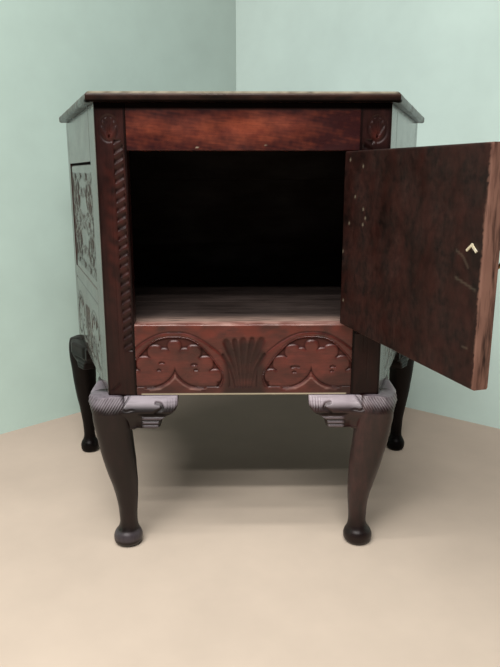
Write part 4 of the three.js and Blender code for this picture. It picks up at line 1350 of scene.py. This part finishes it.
def door_board():
    width = door_edges[1] - door_edges[0]
    height_of_door = door_span[1] - door_span[0]
    rim = 2.2
    step = 1.9
    us = spaced(width, step, rim)
    vs = spaced(height_of_door, step, rim)
    u, v = np.meshgrid(us, vs, indexing="ij")
    drop = rim_drop(u, v, (width, height_of_door), rim)
    outer_relief = bordered(width, height_of_door, (42, 36, 26, 26), 3.0)(u, v)
    outer_height = np.minimum(outer_relief + wander(u, v, 61, 0.16), 0) - drop
    inner_height = np.minimum(wander(u, v, 62, 0.35) - 0.1, 0) - drop
    # Tips of the hinges' nails come through the inner face, at their distances from the hinge edge
    nails = ((18.7, 642.4), (60.5, 632.9), (39.6, 590.2), (66.7, 573.8), (74.0, 561.7), (22.6, 551.1), (67.0, 552.1),
             (3.4, 507.4), (10.6, 432.5))
    nail_mark = np.zeros_like(u)
    for distance, z in nails:
        away = np.hypot(u - (width - distance), v - (z - door_span[0]))
        nail_mark = np.maximum(nail_mark, 0.5 * ease(1.5 - away / 2.2))
        inner_height -= 0.5 * ease(1 - np.abs(away - 2.2) / 1.2)
    for points, width_of_mark, depth in ((((296.8, 541.1), (310, 536.5), (320.9, 525.5)), 1.0, 0.35),
                                         (((298.6, 511.3), (336.2, 503)), 0.8, 0.25),
                                         (((321, 437), (330, 437.6)), 1.6, 0.3)):
        line = [(width - a, b - door_span[0]) for a, b in points]
        away, _, _ = line_distance(u, v, line)
        inner_height += vee(away, width_of_mark, depth)
        nail_mark = np.maximum(nail_mark, 0.13 * ease(1.5 - away / 1.3))
    local_x = door_edges[0] + u
    outer_points = np.stack([local_x, door_faces[0] - outer_height, door_span[0] + v], -1)
    inner_points = np.stack([local_x, door_faces[1] + inner_height, door_span[0] + v], -1)
    rows, columns = u.shape
    count = rows * columns
    faces = grid_faces(rows, columns) + grid_faces(rows, columns, count, True)
    outer = perimeter(rows, columns)
    inner = perimeter(rows, columns, count)
    for k in range(len(outer)):
        after = (k + 1) % len(outer)
        faces.append([outer[after], outer[k], inner[k], inner[after]])
    local = np.concatenate([outer_points.reshape(-1, 3), inner_points.reshape(-1, 3)])
    ridge = np.clip((outer_height - blurred(outer_height, 2)) * 1.1, -1, 1)
    edge_wear = 0.8 * ease(drop / rim * 1.5) * (1 - 0.8 * ease((v - height_of_door + 6) / 4) * ease((u - 8) / 4))
    ragged = 5.0 + 2.5 * wander(v * 9.0, u, 63, 1.0) + 1.5 * wander(v * 23.0, u, 64, 1.0)
    free_edge = 0.9 * ease(1 - u / np.maximum(ragged, 1.5))
    clouds = np.clip(0.4 + wander(u * 1.6, v * 2.0, 65, 0.4) + wander(u * 4.0, v * 4.6, 66, 0.35), 0, 1)
    blush_and_sheen = np.concatenate([np.zeros(count), (0.4 * clouds).ravel()])
    wear_and_painted_light = np.concatenate([(ridge + edge_wear + free_edge).ravel(), (edge_wear + free_edge).ravel()])
    add_piece("door_board_worn", turned(local), faces, "door", door_wood, ["door_board"],
              {"grain": local[:, [2, 0, 1]] * MM + 7.7, "wear_and_painted_light": wear_and_painted_light, "blush_and_sheen": blush_and_sheen,
               "bare_and_highlight": np.concatenate([np.zeros(count), 0.5 * nail_mark.ravel()])}, 45)


door_board()

# Finishes of the solids that stay
for node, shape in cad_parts.items():
    if shape.hide_render:
        continue
    if node.startswith("hinge"):
        finish = iron
    elif node == "handle_split_pin":
        finish = pin_brass
    elif node.startswith("handle"):
        finish = brass
    elif node.startswith("side") or node.startswith("front"):
        finish = side_edge_wood
    else:
        finish = hidden_wood_shaded
    shape.data.materials.clear()
    shape.data.materials.append(finish)

# Floor and walls


def plain_sheet(name, corners, colour, rough, one_sided):
    mesh = bpy.data.meshes.new(name)
    mesh.from_pydata(placed(corners).tolist(), [], [list(range(len(corners)))])
    mesh.update()
    sheet = bpy.data.objects.new(name, mesh)
    bpy.context.scene.collection.objects.link(sheet)
    made = Shader(f"{name}_finish")
    point = made.object_point()
    mottle = made.stretch(made.noise(point, 5.0, 4.0, 0.6), 0.3, 0.7, 0.93, 1.04)
    grey = made.node("ShaderNodeCombineColor", Red=mottle, Green=mottle, Blue=mottle).outputs["Color"]
    made.set(Base_Color=made.mix(1.0, colour, grey, "MULTIPLY"), Roughness=rough, Specular_IOR_Level=0.2)
    if one_sided:
        tree = made.tree
        output = tree.nodes["Material Output"]
        clear = tree.nodes.new("ShaderNodeBsdfTransparent")
        geometry = tree.nodes.new("ShaderNodeNewGeometry")
        blend = tree.nodes.new("ShaderNodeMixShader")
        tree.links.new(geometry.outputs["Backfacing"], blend.inputs[0])
        tree.links.new(made.shader.outputs[0], blend.inputs[1])
        tree.links.new(clear.outputs[0], blend.inputs[2])
        tree.links.new(blend.outputs[0], output.inputs["Surface"])
        sheet.visible_diffuse = False
        sheet.visible_shadow = False
    mesh.materials.append(made.material)
    return sheet


floor_reach = 6000.0
plain_sheet("pale_floor", [(-floor_reach, -floor_reach, 0), (floor_reach, -floor_reach, 0),
                           (floor_reach, floor_reach, 0), (-floor_reach, floor_reach, 0)], srgb(214, 196, 176), 0.8, False)
wall_corner = (-16.0, 1054.0)
wall_height = 2600.0
left_far = (wall_corner[0] - 2200.0, wall_corner[1] - 2200.0 * 94 / 98)
right_far = (wall_corner[0] + 2400.0, wall_corner[1] - 2400.0 * 506 / 620)
plain_sheet("pale_wall_left", [(*left_far, 0), (*wall_corner, 0), (*wall_corner, wall_height), (*left_far, wall_height)],
            srgb(206, 230, 219), 0.7, True)
plain_sheet("pale_wall_right", [(*wall_corner, 0), (*right_far, 0), (*right_far, wall_height), (*wall_corner, wall_height)],
            srgb(214, 236, 227), 0.7, True)

# Light
world = bpy.data.worlds.new("plain_light")
world.use_nodes = True
world.node_tree.nodes["Background"].inputs["Color"].default_value = (*srgb(226, 232, 228), 1.0)
world.node_tree.nodes["Background"].inputs["Strength"].default_value = 0.12
bpy.context.scene.world = world


def ceiling_strip(name, middle, size, power):
    """A long lamp on the ceiling, level and facing down."""
    data = bpy.data.lights.new(name, "AREA")
    data.shape = "RECTANGLE"
    data.size = size[0] * MM
    data.size_y = size[1] * MM
    data.energy = power
    made = bpy.data.objects.new(name, data)
    bpy.context.scene.collection.objects.link(made)
    made.location = placed([middle])[0]
    return made


# Rows of lamps in front of the cabinet: place from front to back, and watts
ceiling = 2400.0
strip_middle = -520.0
strip_size = (2000.0, 130.0)
strip_rows = ((-2282.0, 46.5), (-1681.0, 52.0), (-992.0, 14.5), (-506.0, 19.0))
for order, (row, watts) in enumerate(strip_rows):
    ceiling_strip(f"ceiling_strip_{order}", (strip_middle, row, ceiling), strip_size, watts)

# Camera
camera_place = (-4.63, -1021.7, 625.4)
camera_pitch = math.radians(13.78)
camera_yaw = math.radians(0.81)
focal_pixels = 660.0
frame_pixels = 667.0
sensor = 36.0
lens = bpy.data.cameras.new("photograph_camera")
lens.sensor_width = sensor
lens.lens = sensor * focal_pixels / frame_pixels
lens.clip_end = 100.0
camera = bpy.data.objects.new("photograph_camera", lens)
bpy.context.scene.collection.objects.link(camera)
camera.location = placed([camera_place])[0]
camera.rotation_euler = (math.pi / 2 - camera_pitch, 0.0, -camera_yaw)
bpy.context.scene.camera = camera
bpy.context.scene.view_settings.view_transform = "Standard"
